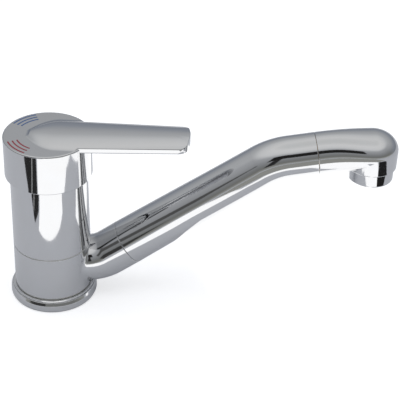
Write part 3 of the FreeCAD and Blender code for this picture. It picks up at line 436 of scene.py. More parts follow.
def size_tree(name: str, sizes: dict[str, object]) -> bpy.types.NodeTree:
    """Start a geometry tree with one named input for each size.

    Args:
        name: Name of the tree.
        sizes: Input names with their values, whose types choose the sockets.

    Returns:
        The tree, still without nodes.
    """
    kinds = {int: "NodeSocketInt", float: "NodeSocketFloat", tuple: "NodeSocketVector"}
    tree = bpy.data.node_groups.new(name, "GeometryNodeTree")
    for label, value in sizes.items():
        tree.interface.new_socket(label, in_out="INPUT", socket_type=kinds[type(value)])
    tree.interface.new_socket("Geometry", in_out="OUTPUT", socket_type="NodeSocketGeometry")
    return tree


def evaluated(name: str, tree: bpy.types.NodeTree, skin: bpy.types.Node, material: bpy.types.Material,
              sizes: dict[str, object]) -> bpy.types.Object:
    """End a geometry tree, run it and keep its result as a plain mesh.

    Args:
        name: Name of the piece.
        tree: Geometry tree whose inputs are only sizes.
        skin: Its last node so far.
        material: Material of the result.
        sizes: Input names with their values.

    Returns:
        The plain mesh object.
    """
    real = add_node(tree, "GeometryNodeRealizeInstances", links={0: skin})
    dressed = add_node(tree, "GeometryNodeSetMaterial", {"Material": material}, {0: real})
    add_node(tree, "NodeGroupOutput", links={0: dressed})
    carrier = linked_object(f"{name}_carrier", bpy.data.meshes.new(f"{name}_carrier"))
    modifier = carrier.modifiers.new("tree", "NODES")
    modifier.node_group = tree
    for item in tree.interface.items_tree:
        if item.name in sizes:
            modifier[item.identifier] = sizes[item.name]
    graph = bpy.context.evaluated_depsgraph_get()
    graph.update()
    mesh = bpy.data.meshes.new_from_object(carrier.evaluated_get(graph))
    carrier.modifiers.remove(modifier)
    bpy.data.objects.remove(carrier)
    mesh.name = name
    mesh.polygons.foreach_set("use_smooth", [True] * len(mesh.polygons))
    return linked_object(name, mesh)


# Finishes

# Values that nearly all of a noise pattern lies between
NOISE_LOW, NOISE_HIGH = 0.25, 0.75


@dataclass(frozen=True)
class Finish:
    """A surface made from one base material.

    Attributes:
        name: Common name of the material and how its surface was made.
        colour: sRGB hex colour.
        metallic: 1 for a metal.
        roughness: Middle of the roughness.
        roughness_swing: How far the roughness moves up and down over the surface.
        grain: Size of the surface pattern in millimetres.
        depth: Height of the surface pattern in millimetres.
        ior: Refractive index, for what isn't a metal.
        coat: Weight of a clear coat.
        tint: How far the colour moves over the surface, 0 to 1.
    """

    name: str
    colour: str
    metallic: float = 0.0
    roughness: float = 0.5
    roughness_swing: float = 0.05
    grain: float = 1.0
    depth: float = 0.01
    ior: float = 1.5
    coat: float = 0.0
    tint: float = 0.04

    def build(self) -> bpy.types.Material:
        """Make the material with its nodes.

        Returns:
            The new material.
        """
        material = blank_material(self.name)
        tree = material.node_tree
        place = add_node(tree, "ShaderNodeTexCoord")
        grain = add_node(tree, "ShaderNodeTexNoise",
                         {"Scale": 1 / (self.grain * MM), "Detail": 4.0, "Roughness": 0.6},
                         {"Vector": place.outputs["Object"]})
        rough = add_node(tree, "ShaderNodeMapRange", {
            "From Min": NOISE_LOW, "From Max": NOISE_HIGH,
            "To Min": self.roughness - self.roughness_swing,
            "To Max": self.roughness + self.roughness_swing}, {"Value": grain})
        pale = linear(self.colour)
        dark = (*[c * (1 - self.tint) for c in pale[:3]], 1.0)
        tone = add_node(tree, "ShaderNodeMix", {"data_type": "RGBA", 6: dark, 7: pale}, {0: grain})
        bump = add_node(tree, "ShaderNodeBump", {"Strength": 1.0, "Distance": self.depth * MM},
                        {"Height": grain})
        shader = add_node(tree, "ShaderNodeBsdfPrincipled",
                          {"Metallic": self.metallic, "Coat Weight": self.coat},
                          {"Base Color": tone.outputs[2], "Roughness": rough, "Normal": bump})
        if not self.metallic:
            shader.inputs["IOR"].default_value = self.ior
        add_node(tree, "ShaderNodeOutputMaterial", links={"Surface": shader})
        return material


@dataclass(frozen=True)
class PolishedChrome:
    """Chrome plate over a polished casting: mirror bright, with a slow wave and hairline wipe marks.

    Attributes:
        name: Name of the material.
        colour: sRGB hex colour of the plate.
        warmth: Share of red, green and blue that the plate keeps where it looks warmest.
        roughness: Roughness of the clean plate.
        haze: How many times rougher the wiped places are.
        haze_range: Values of the wipe pattern between which the haze comes in.
        wave: Length of the polishing wave in millimetres.
        wave_depth: Height of the polishing wave in millimetres.
        wipe: Spacing of the wipe marks in millimetres, coarser than real ones so that they show.
        wipe_stretch: Scale of the wipe marks along Z; a small one draws them out upwards.
        wipe_depth: Height of the wipe marks in millimetres.
    """

    name: str = "chrome plate, polished"
    colour: str = "d2d3d5"
    warmth: tuple[float, float, float] = (0.985, 0.975, 0.96)
    roughness: float = 0.045
    haze: float = 1.9
    haze_range: Pair = (0.35, 0.8)
    wave: float = 9.0
    wave_depth: float = 0.012
    wipe: float = 0.7
    wipe_stretch: float = 0.12
    wipe_depth: float = 0.0004

    def build(self) -> bpy.types.Material:
        """Make the material with its nodes.

        Returns:
            The new material.
        """
        material = blank_material(self.name)
        tree = material.node_tree
        place = add_node(tree, "ShaderNodeTexCoord")
        wave = add_node(tree, "ShaderNodeTexNoise",
                        {"Scale": 1 / (self.wave * MM), "Detail": 1.0, "Roughness": 0.4},
                        {"Vector": place.outputs["Object"]})
        stretched = add_node(tree, "ShaderNodeMapping", {"Scale": (1.0, 1.0, self.wipe_stretch)},
                             {"Vector": place.outputs["Object"]})
        wipe = add_node(tree, "ShaderNodeTexNoise",
                        {"Scale": 1 / (self.wipe * MM), "Detail": 3.0, "Roughness": 0.65},
                        {"Vector": stretched})
        slow = add_node(tree, "ShaderNodeBump", {"Strength": 1.0, "Distance": self.wave_depth * MM},
                        {"Height": wave})
        fine = add_node(tree, "ShaderNodeBump", {"Strength": 1.0, "Distance": self.wipe_depth * MM},
                        {"Height": wipe, "Normal": slow})
        rough = add_node(tree, "ShaderNodeMapRange", {
            "From Min": self.haze_range[0], "From Max": self.haze_range[1],
            "To Min": self.roughness, "To Max": self.roughness * self.haze}, {"Value": wipe})
        cool = linear(self.colour)
        warm = (*[c * share for c, share in zip(cool, self.warmth)], 1.0)
        tone = add_node(tree, "ShaderNodeMix", {"data_type": "RGBA", 6: cool, 7: warm}, {0: wave})
        shader = add_node(tree, "ShaderNodeBsdfPrincipled", {"Metallic": 1.0},
                          {"Base Color": tone.outputs[2], "Roughness": rough, "Normal": fine})
        add_node(tree, "ShaderNodeOutputMaterial", links={"Surface": shader})
        return material


class Finishes:
    """All materials of the tap, one for each slot of the record."""

    def __init__(self) -> None:
        """Build every material once."""
        enamel = {"roughness": 0.35, "grain": 0.6, "coat": 0.3, "tint": 0.25}
        looks = {
            # Chrome plate on a polished casting gives a hard clear mirror.
            Slot.CHROME: PolishedChrome(),
            # Turned brass has a warm dull shine with a fine grain.
            Slot.BRASS: Finish("brass, turned", "c9a25e", metallic=1.0, roughness=0.28,
                               roughness_swing=0.07, grain=0.5, depth=0.004),
            # Moulded nitrile rubber is near black with a soft sheen.
            Slot.RUBBER: Finish("nitrile rubber, moulded", "1d1d1e", roughness=0.62,
                                roughness_swing=0.08, grain=0.4, depth=0.008, ior=1.52),
            # Moulded acetal is a milky white plastic with a low gloss.
            Slot.ACETAL: Finish("acetal, moulded", "e6e6e0", roughness=0.38,
                                roughness_swing=0.06, grain=0.8, depth=0.004, ior=1.48),
            # Lapped alumina is cream white and almost mirror flat.
            Slot.CERAMIC: Finish("alumina ceramic, lapped", "ece6d8", roughness=0.12,
                                 roughness_swing=0.03, grain=0.6, depth=0.001, ior=1.76),
            # Drawn stainless steel is a little warmer and duller than the plate.
            Slot.STEEL: Finish("stainless steel, drawn", "b9b8b4", metallic=1.0, roughness=0.3,
                               roughness_swing=0.06, grain=0.3, depth=0.003),
            # Moulded grey ABS has an even grey and a soft gloss.
            Slot.PLUG: Finish("ABS, moulded grey", "8f9194", roughness=0.3, grain=0.6, depth=0.004, ior=1.53),
            # Enamel filling has a thin clear gloss over a colour that is a little uneven.
            Slot.HOT: Finish("enamel filling, red", "8c1d2c", **enamel),
            Slot.COLD: Finish("enamel filling, blue", "3a5a8c", **enamel),
        }
        self.by_slot: dict[Slot, bpy.types.Material] = {slot: look.build() for slot, look in looks.items()}

    def dress(self, piece: bpy.types.Object, slot: Slot) -> None:
        """Give a piece the finish of a slot."""
        piece.data.materials.clear()
        piece.data.materials.append(self.by_slot[slot])

    def dress_frame(self, frame: dict) -> None:
        """Give every CAD node the finish of its slot in the record.
        """
        for part in frame["record"]["subparts"]:
            self.dress(frame["nodes"][part["node"]], Slot(part["material_slot"]))

    def settle(self, piece: bpy.types.Object, body: Body, slot: Slot, *nodes: str) -> None:
        """Dress a piece, let it ride on its body and stand for its CAD nodes.

        Args:
            piece: Finished piece.
            body: Body that carries it.
            slot: Slot of its finish.
            nodes: CAD nodes that it replaces.
        """
        self.dress(piece, slot)
        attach(piece, body.value)
        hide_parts(*nodes)
        LOG.info("%s: %d points on %s", piece.name, len(piece.data.vertices), body.value)


# Sub-assemblies


@dataclass(frozen=True)
class BaseRing:
    """Section of the foot ring: a full round edge, a fine groove and a narrow lip under the collar.

    Attributes:
        bore: Radius of the hole.
        seat: Height of the face that the collar's glide ring lies on.
        foot: Rim of the underside.
        belly_low: Lower bend of the round edge.
        belly_high: Upper bend of the round edge.
        shoulder: Rim above the round edge.
        groove_low: Lower corner of the groove.
        groove_high: Upper corner of the groove.
        lip_low: Underside of the lip.
        lip_high: Top of the lip, outside.
        lip_inner: Top of the lip, inside.
        seat_rim: Rim of the glide ring's face.
    """

    bore: float = 18.4
    seat: float = 7.9
    foot: Corner = (25.6, 0.0, 0.5)
    belly_low: Corner = (26.35, 1.6, 1.2)
    belly_high: Corner = (26.2, 4.6, 1.5)
    shoulder: Corner = (25.3, 6.6, 0.4)
    groove_low: Corner = (24.8, 6.62, 0.1)
    groove_high: Corner = (24.75, 6.95, 0.1)
    lip_low: Corner = (24.9, 7.05, 0.1)
    lip_high: Corner = (24.6, 7.98, 0.4)
    lip_inner: Corner = (23.5, 7.98, 0.2)
    seat_rim: float = 23.4

    def section(self) -> list[Pair]:
        """The section with its corners rounded."""
        return edge_profile((
            (self.bore, 0.0, 0.0), self.foot, self.belly_low, self.belly_high, self.shoulder,
            self.groove_low, self.groove_high, self.lip_low, self.lip_high, self.lip_inner,
            (self.seat_rim, self.seat, 0.0), (self.bore, self.seat, 0.0)))


@dataclass(frozen=True)
class Column:
    """The upright part of the tap: base ring, turning collar and sleeve.

    Attributes:
        ring: Section of the base ring.
        top_radius: Radius at the skirt's foot.
        foot_radius: Radius at the collar's foot.
        skirt_foot: Height of the skirt's foot.
        collar_foot: Height of the collar's foot.
        collar_top: Height of the seam above the collar.
        collar_bore: Inner radius of the collar.
        collar_soft: Rounding of the collar's foot.
        shell_foot: Height of the sleeve's foot.
        shell_top: Height of the sleeve's top.
        shell_bore: Inner radius of the sleeve.
        shell_soft: Rounding of the sleeve's top.
        neck_bore: Inner radius of the sleeve's neck.
        neck: Height of the sleeve's neck.
        neck_soft: Rounding inside the neck.
        seam_soft: Rounding of the rims at the seam.
        around: Steps round the collar and the sleeve.
    """

    ring: BaseRing = BaseRing()
    top_radius: float = 22.7
    foot_radius: float = 23.55
    skirt_foot: float = 85.7
    collar_foot: float = 8.55
    collar_top: float = 36.95
    collar_bore: float = 19.5
    collar_soft: float = 0.3
    shell_foot: float = 37.5
    shell_top: float = 87.2
    shell_bore: float = 20.5
    shell_soft: float = 0.7
    neck_bore: float = 18.9
    neck: float = 3.2
    neck_soft: float = 0.2
    seam_soft: float = 0.22
    around: int = 192

    def radius(self, z: float) -> float:
        """Outer radius of the collar and the sleeve at a height."""
        slope = (self.foot_radius - self.top_radius) / (self.skirt_foot - self.collar_foot)
        return self.top_radius + slope * (self.skirt_foot - z)

    def sleeve(self) -> bpy.types.Object:
        """Make the sleeve between the collar and the handle.

        Returns:
            The sleeve, narrower inside at its top.
        """
        foot, top = self.shell_foot, self.shell_top
        section = edge_profile((
            (self.shell_bore, foot, 0.0), (self.radius(foot), foot, self.seam_soft),
            (self.radius(top), top, self.shell_soft), (self.neck_bore, top, self.neck_soft),
            (self.neck_bore, top - self.neck, 0.0), (self.shell_bore, top - self.neck, 0.0)))
        return turned_piece("body_sleeve_polished", section, self.around)

    def collar(self) -> bpy.types.Object:
        """Make the turning collar.

        Returns:
            The collar without its stub.
        """
        foot, top = self.collar_foot, self.collar_top
        section = edge_profile((
            (self.collar_bore, foot, 0.0), (self.radius(foot), foot, self.collar_soft),
            (self.radius(top), top, self.seam_soft), (self.collar_bore, top, 0.0)))
        return turned_piece("collar_wall", section, self.around)

    def build(self, finishes: Finishes) -> None:
        """Make and dress the base ring and the sleeve; the collar goes with the spout.

        Args:
            finishes: The tap's materials.
        """
        ring = turned_piece("base_ring_polished", self.ring.section())
        finishes.settle(ring, Body.FIXED, Slot.CHROME, "base_ring")
        finishes.settle(self.sleeve(), Body.FIXED, Slot.CHROME, "body_shell")


@dataclass(frozen=True)
class SpoutLine:
    """Centreline and widths of the spout in its own upright plane.

    Attributes:
        axis_z: Height of the stub's level run.
        kink_x: Where the level and rising lines cross.
        stub_bend: Bend radius of the stub.
        rise: Degrees of the rising run.
        stub_run: From that crossing to the first seam.
        tube_run: From that crossing to the upper one.
        tube_bend: Bend radius at the top.
        level_rise: Degrees of the upper run at the second seam.
        level_run: From the upper crossing to the second seam.
        start_radius: Outer radius as far as the first seam.
        end_radius: Outer radius from the upper bend on.
        taper_ease: Share of the taper that starts and ends softly.
        nozzle_x: Distance of the outlet's axis.
        gap: Gap at each seam.
    """

    axis_z: float = 22.75
    kink_x: float = 29.2
    stub_bend: float = 22.5
    rise: float = 34.35
    stub_run: float = 20.3
    tube_run: float = 124.15
    tube_bend: float = 40.0
    level_rise: float = 8.3
    level_run: float = 25.3
    start_radius: float = 14.15
    end_radius: float = 12.6
    taper_ease: float = 0.35
    nozzle_x: float = 190.18
    gap: float = 0.15

    def first_kink(self) -> Vector:
        """Crossing of the level and rising lines."""
        return Vector((self.kink_x, self.axis_z))

    def second_kink(self) -> Vector:
        """Crossing of the rising and upper lines."""
        return self.first_kink() + heading(self.rise) * self.tube_run

    def first_seam(self) -> Vector:
        """Middle of the seam near the body."""
        return self.first_kink() + heading(self.rise) * self.stub_run

    def second_seam(self) -> Vector:
        """Middle of the seam before the outlet."""
        return self.second_kink() + heading(self.level_rise) * self.level_run

    def bend_path(self, kink: Vector, before: float, after: float, radius: float,
                  steps: int) -> list[Station]:
        """Stations along one bend.

        Args:
            kink: Crossing of the two straight lines.
            before: Rise before the bend in degrees.
            after: Rise after the bend in degrees.
            radius: Bend radius of the centreline.
            steps: Steps along the bend.

        Returns:
            Pairs of a point and the rise there.
        """
        side = 1 if after > before else -1
        lead = radius * math.tan(math.radians(abs(after - before)) / 2)
        start = kink - heading(before) * lead
        centre = start + heading(before + 90 * side) * radius
        path = []
        for i in range(steps + 1):
            turn = before + (after - before) * i / steps
            path.append((centre - heading(turn + 90 * side) * radius, turn))
        return path

    def radius(self, t: float) -> float:
        """Outer radius of the rising tube at a share of its straight run."""
        taper = t * t * (3 - 2 * t) * self.taper_ease + t * (1 - self.taper_ease)
        return self.start_radius + (self.end_radius - self.start_radius) * taper


class RoundSkin:
    """Skin of a round bar that follows a centreline in the spout's plane, before the spout is turned."""

    def __init__(self, path: Sequence[Station], radius: float) -> None:
        """Measure the centreline.

        Args:
            path: Stations of the centreline.
            radius: Radius of the bar.
        """
        self.path, self.radius = path, radius
        self.lengths = [0.0]
        for (a, _), (b, _) in zip(path, path[1:]):
            self.lengths.append(self.lengths[-1] + (b - a).length)

    def at(self, length: float, angle: float) -> tuple[Vector, Vector]:
        """Point and outward direction of the skin.

        Args:
            length: Length along the centreline.
            angle: Angle from the top in radians.

        Returns:
            The point and the unit direction.
        """
        i = 1
        while i < len(self.lengths) - 1 and self.lengths[i] < length:
            i += 1
        t = (length - self.lengths[i - 1]) / (self.lengths[i] - self.lengths[i - 1])
        (first, first_rise), (second, second_rise) = self.path[i - 1], self.path[i]
        centre = first.lerp(second, t)
        rise = math.radians(first_rise * (1 - t) + second_rise * t)
        out = Vector((-math.sin(rise) * math.cos(angle), math.sin(angle), math.cos(rise) * math.cos(angle)))
        return Vector((centre.x, 0.0, centre.y)) + out * self.radius, out


@dataclass(frozen=True)
class AeratorScreen:
    """Woven steel screen over the aerator's outlet, made by one node tree.

    Attributes:
        x: Distance of the outlet's axis.
        radius: Radius of the circle that the wires end on.
        pitch: Distance between wires, coarser than in a real screen so that the weave shows.
        wire: Radius of a wire.
        weave: How far a wire swings up and down.
        height: Height of the screen's middle.
        wires: Number of wires each way.
        steps: Points along a wire, about four from one crossing to the next.
    """

    x: float
    radius: float = 10.35
    pitch: float = 1.2
    wire: float = 0.13
    weave: float = 0.11
    height: float = 81.85
    wires: int = 17
    steps: int = 70

    def build(self, name: str, material: bpy.types.Material) -> bpy.types.Object:
        """Make the screen.

        Args:
            name: Name of the piece.
            material: Steel of the wires.

        Returns:
            A plain mesh object with all wires.
        """
        centre = turn_about_z((self.x, 0.0, self.height), SPOUT_YAW)
        sizes = {
            "Radius": self.radius * MM, "Pitch": self.pitch * MM, "Wire radius": self.wire * MM,
            "Weave": self.weave * MM, "Wires": self.wires, "Centre": tuple(v * MM for v in centre),
            "Yaw": math.radians(SPOUT_YAW)}
        tree = size_tree(f"{name}_weave", sizes)
        given = add_node(tree, "NodeGroupInput").outputs
        times = {"operation": "MULTIPLY"}
        over = {"operation": "DIVIDE"}

        # One straight wire is laid in rows and cut to the circle, then copied across.
        gaps = add_node(tree, "ShaderNodeMath", {"operation": "SUBTRACT", 1: 1.0}, {0: given["Wires"]})
        span = add_node(tree, "ShaderNodeMath", times, {0: gaps, 1: given["Pitch"]})
        first = add_node(tree, "ShaderNodeMath", {**times, 1: -0.5}, {0: span})
        first_row = add_node(tree, "ShaderNodeCombineXYZ", links={"Y": first})
        next_row = add_node(tree, "ShaderNodeCombineXYZ", links={"Y": given["Pitch"]})
        rows = add_node(tree, "GeometryNodeMeshLine", {"mode": "OFFSET"},
                        {"Count": given["Wires"], "Start Location": first_row, "Offset": next_row})
        back = add_node(tree, "ShaderNodeMath", {**times, 1: -1.0}, {0: given["Radius"]})
        left = add_node(tree, "ShaderNodeCombineXYZ", links={"X": back})
        right = add_node(tree, "ShaderNodeCombineXYZ", links={"X": given["Radius"]})
        line = add_node(tree, "GeometryNodeCurvePrimitiveLine", {}, {"Start": left, "End": right})
        fine = add_node(tree, "GeometryNodeResampleCurve", {"Count": self.steps}, {"Curve": line})
        position = add_node(tree, "GeometryNodeInputPosition")
        where = add_node(tree, "ShaderNodeSeparateXYZ", links={0: position})
        share = add_node(tree, "ShaderNodeMath", over, {0: where.outputs["Y"], 1: given["Radius"]})
        squared = add_node(tree, "ShaderNodeMath", times, {0: share, 1: share})
        left_over = add_node(tree, "ShaderNodeMath", {"operation": "SUBTRACT", 0: 1.0}, {1: squared})
        chord = add_node(tree, "ShaderNodeMath", {"operation": "SQRT"}, {0: left_over})
        shrink = add_node(tree, "ShaderNodeCombineXYZ", {"Y": 1.0, "Z": 1.0}, {"X": chord})
        laid = add_node(tree, "GeometryNodeInstanceOnPoints", {},
                        {"Points": rows, "Instance": fine, "Scale": shrink})
        lengthways = add_node(tree, "GeometryNodeRealizeInstances", links={0: laid})
        crossways = add_node(tree, "GeometryNodeTransform", {"Rotation": (0.0, 0.0, math.pi / 2)},
                             {"Geometry": lengthways})

        # Both sets swing against each other, up at one crossing and down at the next.
        beat = add_node(tree, "ShaderNodeMath", {**over, 0: math.pi}, {1: given["Pitch"]})
        swings = []
        for axis in ("X", "Y"):
            turn = add_node(tree, "ShaderNodeMath", times, {0: where.outputs[axis], 1: beat})
            swings.append(add_node(tree, "ShaderNodeMath", {"operation": "COSINE"}, {0: turn}))
        wave = add_node(tree, "ShaderNodeMath", times, {0: swings[0], 1: swings[1]})
        lift = add_node(tree, "ShaderNodeMath", times, {0: wave, 1: given["Weave"]})
        round_wire = add_node(tree, "GeometryNodeCurvePrimitiveCircle", {"mode": "RADIUS", "Resolution": 6},
                              {"Radius": given["Wire radius"]})
        both = add_node(tree, "GeometryNodeJoinGeometry")
        for wires, side in ((lengthways, 1.0), (crossways, -1.0)):
            rise = add_node(tree, "ShaderNodeMath", {**times, 1: side}, {0: lift})
            offset = add_node(tree, "ShaderNodeCombineXYZ", links={"Z": rise})
            woven = add_node(tree, "GeometryNodeSetPosition", {}, {"Geometry": wires, "Offset": offset})
            skin = add_node(tree, "GeometryNodeCurveToMesh", {"Fill Caps": True},
                            {"Curve": woven, "Profile Curve": round_wire})
            tree.links.new(skin.outputs[0], both.inputs[0])
        turned = add_node(tree, "ShaderNodeCombineXYZ", links={"Z": given["Yaw"]})
        placed = add_node(tree, "GeometryNodeTransform", {},
                          {"Geometry": both, "Translation": given["Centre"], "Rotation": turned})
        return evaluated(name, tree, placed, material, sizes)


@dataclass(frozen=True)
class Spout:
    """Collar with its stub, tube, outlet head and aerator.

    Attributes:
        line: Centreline and widths.
        column: The upright part that the stub grows from.
        around: Points in each ring of the tube.
        root_x: Where the stub's centreline starts, inside the collar.
        root_blend: Width of the hollow at the sides, where the stub meets the collar.
        least_blend: Width of that hollow at the top and bottom.
        root_depths: Depths of the stub's hidden root in the collar's wall, the deepest first.
        knee_half_width: Half width of the head over the nozzle.
        knee_half_height: Half height of the head over the nozzle.
        knee_z: Height of the middle of the head over the nozzle.
        widening: Power that holds the oval's widening back near the seam.
        head_lead: Share of the head's run that its softened rim takes.
        dome_turn: Degrees of the dome, just short of its pole.
        bore: Radius of the thread for the aerator.
        spot_face: Radius of the flat turned round the aerator's housing.
        bore_top: Height of the thread's end.
        nozzle_foot: Height of the nozzle's foot.
        nozzle_soft: Rounding of the nozzle's foot outside.
        bore_soft: Rounding of the nozzle's foot inside.
        ring_radius: Radius of the aerator's housing.
        ring_rim: Height of the aerator's lowest edge.
        ring_gap: Gap between the nozzle and the aerator's housing.
        ring_thread: Outer radius of the aerator's thread.
        ring_top: Height of the aerator's top.
        ring_bore: Inner radius of the aerator's housing.
        lip_bore: Inner radius of the aerator's lip.
        lip_thick: Height of the aerator's lip.
        lip_soft: Rounding of the lip's outer edge.
        lip_bore_soft: Rounding of the lip's inner edge.
        ring_soft: Rounding of the housing's upper edge.
    """

    line: SpoutLine
    column: Column
    around: int = 144
    root_x: float = 8.0
    root_blend: float = 2.6
    least_blend: float = 0.25
    root_depths: Pair = (2.5, 0.05)
    knee_half_width: float = 14.88
    knee_half_height: float = 11.38
    knee_z: float = 99.18
    widening: float = 1.5
    head_lead: float = 0.02
    dome_turn: float = 88.8
    bore: float = 11.95
    spot_face: float = 13.9
    bore_top: float = 96.0
    nozzle_foot: float = 88.5
    nozzle_soft: float = 0.6
    bore_soft: float = 0.25
    ring_radius: float = 13.6
    ring_rim: float = 80.4
    ring_gap: float = 0.05
    ring_thread: float = 11.9
    ring_top: float = 94.6
    ring_bore: float = 10.6
    lip_bore: float = 9.8
    lip_thick: float = 1.2
    lip_soft: float = 0.8
    lip_bore_soft: float = 0.35
    ring_soft: float = 0.3

    def round_ring(self, centre: Vector, rise: float, radius: float) -> list[Point]:
        """Points of one round section."""
        return ring_points(centre, rise, radius, radius, self.around)

    def stub_path(self) -> list[Station]:
        """Lay out the stub's centreline.

        Returns:
            Stations from inside the collar to just before the first seam.
        """
        line = self.line
        level_steps, bend_steps, rising_steps = 30, 24, 12
        bend = line.bend_path(line.first_kink(), 0.0, line.rise, line.stub_bend, bend_steps)
        level = bend[0][0].x - self.root_x
        last = line.first_seam() - heading(line.rise) * SEAM_LEAD
        path: list[Station] = []
        for i in range(level_steps):
            path.append((Vector((self.root_x + level * i / level_steps, line.axis_z)), 0.0))
        path += bend
        for i in range(1, rising_steps + 1):
            path.append((bend[-1][0].lerp(last, i / rising_steps), line.rise))
        return path

    def stub_column(self, skin: RoundSkin, angle: float) -> list[Vector]:
        """Points along the stub at one angle, from its hidden root over the hollow to its end.

        Args:
            skin: Skin of the stub.
            angle: Angle from the top in radians.

        Returns:
            The points, before the spout is turned.
        """
        hollow_steps, skin_steps, halvings = 10, 40, 40
        end = skin.lengths[-1]
        low, high = 0.0, end
        for _ in range(halvings):
            middle = (low + high) / 2
            point, _out = skin.at(middle, angle)
            inside = math.hypot(point.x, point.y) < self.column.radius(point.z)
            low, high = (middle, high) if inside else (low, middle)
        crease, out = skin.at(low, angle)
        size = self.least_blend + (self.root_blend - self.least_blend) * math.sin(angle) ** 2
        wall_out = Vector((crease.x, crease.y, 0.0)).normalized()
        slide = (out - wall_out * out.dot(wall_out)).normalized()
        on_wall = crease + slide * size
        fitted = self.column.radius(on_wall.z) / math.hypot(on_wall.x, on_wall.y)
        on_wall = Vector((on_wall.x * fitted, on_wall.y * fitted, on_wall.z))
        on_stub, _out = skin.at(low + size, angle)
        column = [on_wall - wall_out * depth for depth in self.root_depths]
        for k in range(hollow_steps + 1):
            t = k / hollow_steps
            column.append(on_wall * (1 - t) ** 2 + crease * 2 * t * (1 - t) + on_stub * t * t)
        for k in range(1, skin_steps + 1):
            point, _out = skin.at(low + size + (end - low - size) * k / skin_steps, angle)
            column.append(point)
        return column

    def stub(self) -> bpy.types.Object:
        """Stub that grows out of the collar with a soft hollow at its sides.

        Returns:
            The closed stub, whose root lies inside the collar's wall.
        """
        line = self.line
        skin = RoundSkin(self.stub_path(), line.start_radius)
        columns = [self.stub_column(skin, 2 * math.pi * j / self.around) for j in range(self.around)]
        rings = [
            [turn_about_z(tuple(column[i]), SPOUT_YAW) for column in columns]
            for i in range(len(columns[0]))
        ]
        rings += reversed(softened_end(line.first_seam(), line.rise, line.start_radius, -1, self.around))
        return swept_piece("collar_stub", rings)

    def tube(self) -> bpy.types.Object:
        """Make the rising tube.

        Returns:
            The tube, slightly tapered and bent over at its top.
        """
        line = self.line
        rising_steps, bend_steps, level_steps = 60, 40, 12
        start = line.first_seam() + heading(line.rise) * line.gap
        end = line.second_seam()
        rings = softened_end(start, line.rise, line.start_radius, 1, self.around)
        bend = line.bend_path(line.second_kink(), line.rise, line.level_rise, line.tube_bend, bend_steps)
        lead = SEAM_LEAD / (bend[0][0] - start).length
        for i in range(1, rising_steps):
            t = lead + (1 - lead) * i / rising_steps
            rings.append(self.round_ring(start.lerp(bend[0][0], t), line.rise, line.radius(t)))
        for centre, rise in bend:
            rings.append(self.round_ring(centre, rise, line.end_radius))
        last = end - heading(line.level_rise) * SEAM_LEAD
        for i in range(1, level_steps):
            centre = bend[-1][0].lerp(last, i / level_steps)
            rings.append(self.round_ring(centre, line.level_rise, line.end_radius))
        rings += reversed(softened_end(end, line.level_rise, line.end_radius, -1, self.around))
        return swept_piece("spout_tube_polished", rings)

    def head_bar(self) -> bpy.types.Object:
        """Bar of the outlet head with its domed end, faced and bored for the aerator.

        Returns:
            The bar, round at the seam and a wide oval over the nozzle.
        """
        line = self.line
        start = line.second_seam() + heading(line.level_rise) * line.gap
        rings = softened_end(start, line.level_rise, line.end_radius, 1, self.around)
        run = line.nozzle_x - start.x
        climb = run * math.tan(math.radians(line.level_rise))
        steps, dome_steps = 48, 40
        for i in range(1, steps + 1):
            t = self.head_lead + (1 - self.head_lead) * i / steps
            settled = t * t * (3 - 2 * t)
            z = start.y + (self.knee_z - start.y) * settled + climb * t * (1 - t) ** 2
            slope = (6 * t * (1 - t) * (self.knee_z - start.y) + climb * (1 - t) * (1 - 3 * t)) / run
            share = settled ** self.widening
            wide = line.end_radius + (self.knee_half_width - line.end_radius) * share
            tall = line.end_radius + (self.knee_half_height - line.end_radius) * share
            rise = math.degrees(math.atan(slope))
            rings.append(ring_points(Vector((start.x + run * t, z)), rise, wide, tall, self.around))
        for i in range(1, dome_steps + 1):
            angle = math.radians(self.dome_turn) * i / dome_steps
            centre = Vector((line.nozzle_x + self.knee_half_width * math.sin(angle), self.knee_z))
            rings.append(ring_points(centre, 0.0, self.knee_half_width * math.cos(angle),
                                     self.knee_half_height * math.cos(angle), self.around))
        bar = swept_piece("head_bar", rings)
        cutter = turned_piece("head_cutter", (
            (ON_AXIS, self.ring_rim), (self.spot_face, self.ring_rim), (self.spot_face, self.nozzle_foot),
            (self.bore, self.nozzle_foot), (self.bore, self.bore_top), (ON_AXIS, self.bore_top),
        ), self.around, line.nozzle_x, SPOUT_YAW)
        return cut_away(bar, cutter)

    def nozzle(self) -> bpy.types.Object:
        """Make the upright nozzle.

        Returns:
            The nozzle, whose top lies inside the domed end of the head.
        """
        wide, foot, top = self.knee_half_width, self.nozzle_foot, self.knee_z
        section = edge_profile((
            (self.bore, foot, self.bore_soft), (wide, foot, self.nozzle_soft), (wide, top, 0.0),
            (ON_AXIS, top, 0.0), (ON_AXIS, self.bore_top, 0.0), (self.bore, self.bore_top, 0.0)))
        return turned_piece("head_nozzle", section, self.around, self.line.nozzle_x, SPOUT_YAW)

    def aerator_ring(self) -> bpy.types.Object:
        """Make the aerator's housing.

        Returns:
            The housing, with a thin seam above it and a rounded lip below.
        """
        rim, radius, seam = self.ring_rim, self.ring_radius, self.nozzle_foot - self.ring_gap
        lip_top = rim + self.lip_thick
        section = edge_profile((
            (self.lip_bore, rim, self.lip_bore_soft), (radius, rim, self.lip_soft),
            (radius, seam, self.ring_soft),
            (self.ring_thread, seam, 0.0), (self.ring_thread, self.ring_top, 0.0),
            (self.ring_bore, self.ring_top, 0.0), (self.ring_bore, lip_top, 0.0),
            (self.lip_bore, lip_top, 0.0)))
        return turned_piece("aerator_ring_polished", section, self.around, self.line.nozzle_x, SPOUT_YAW)

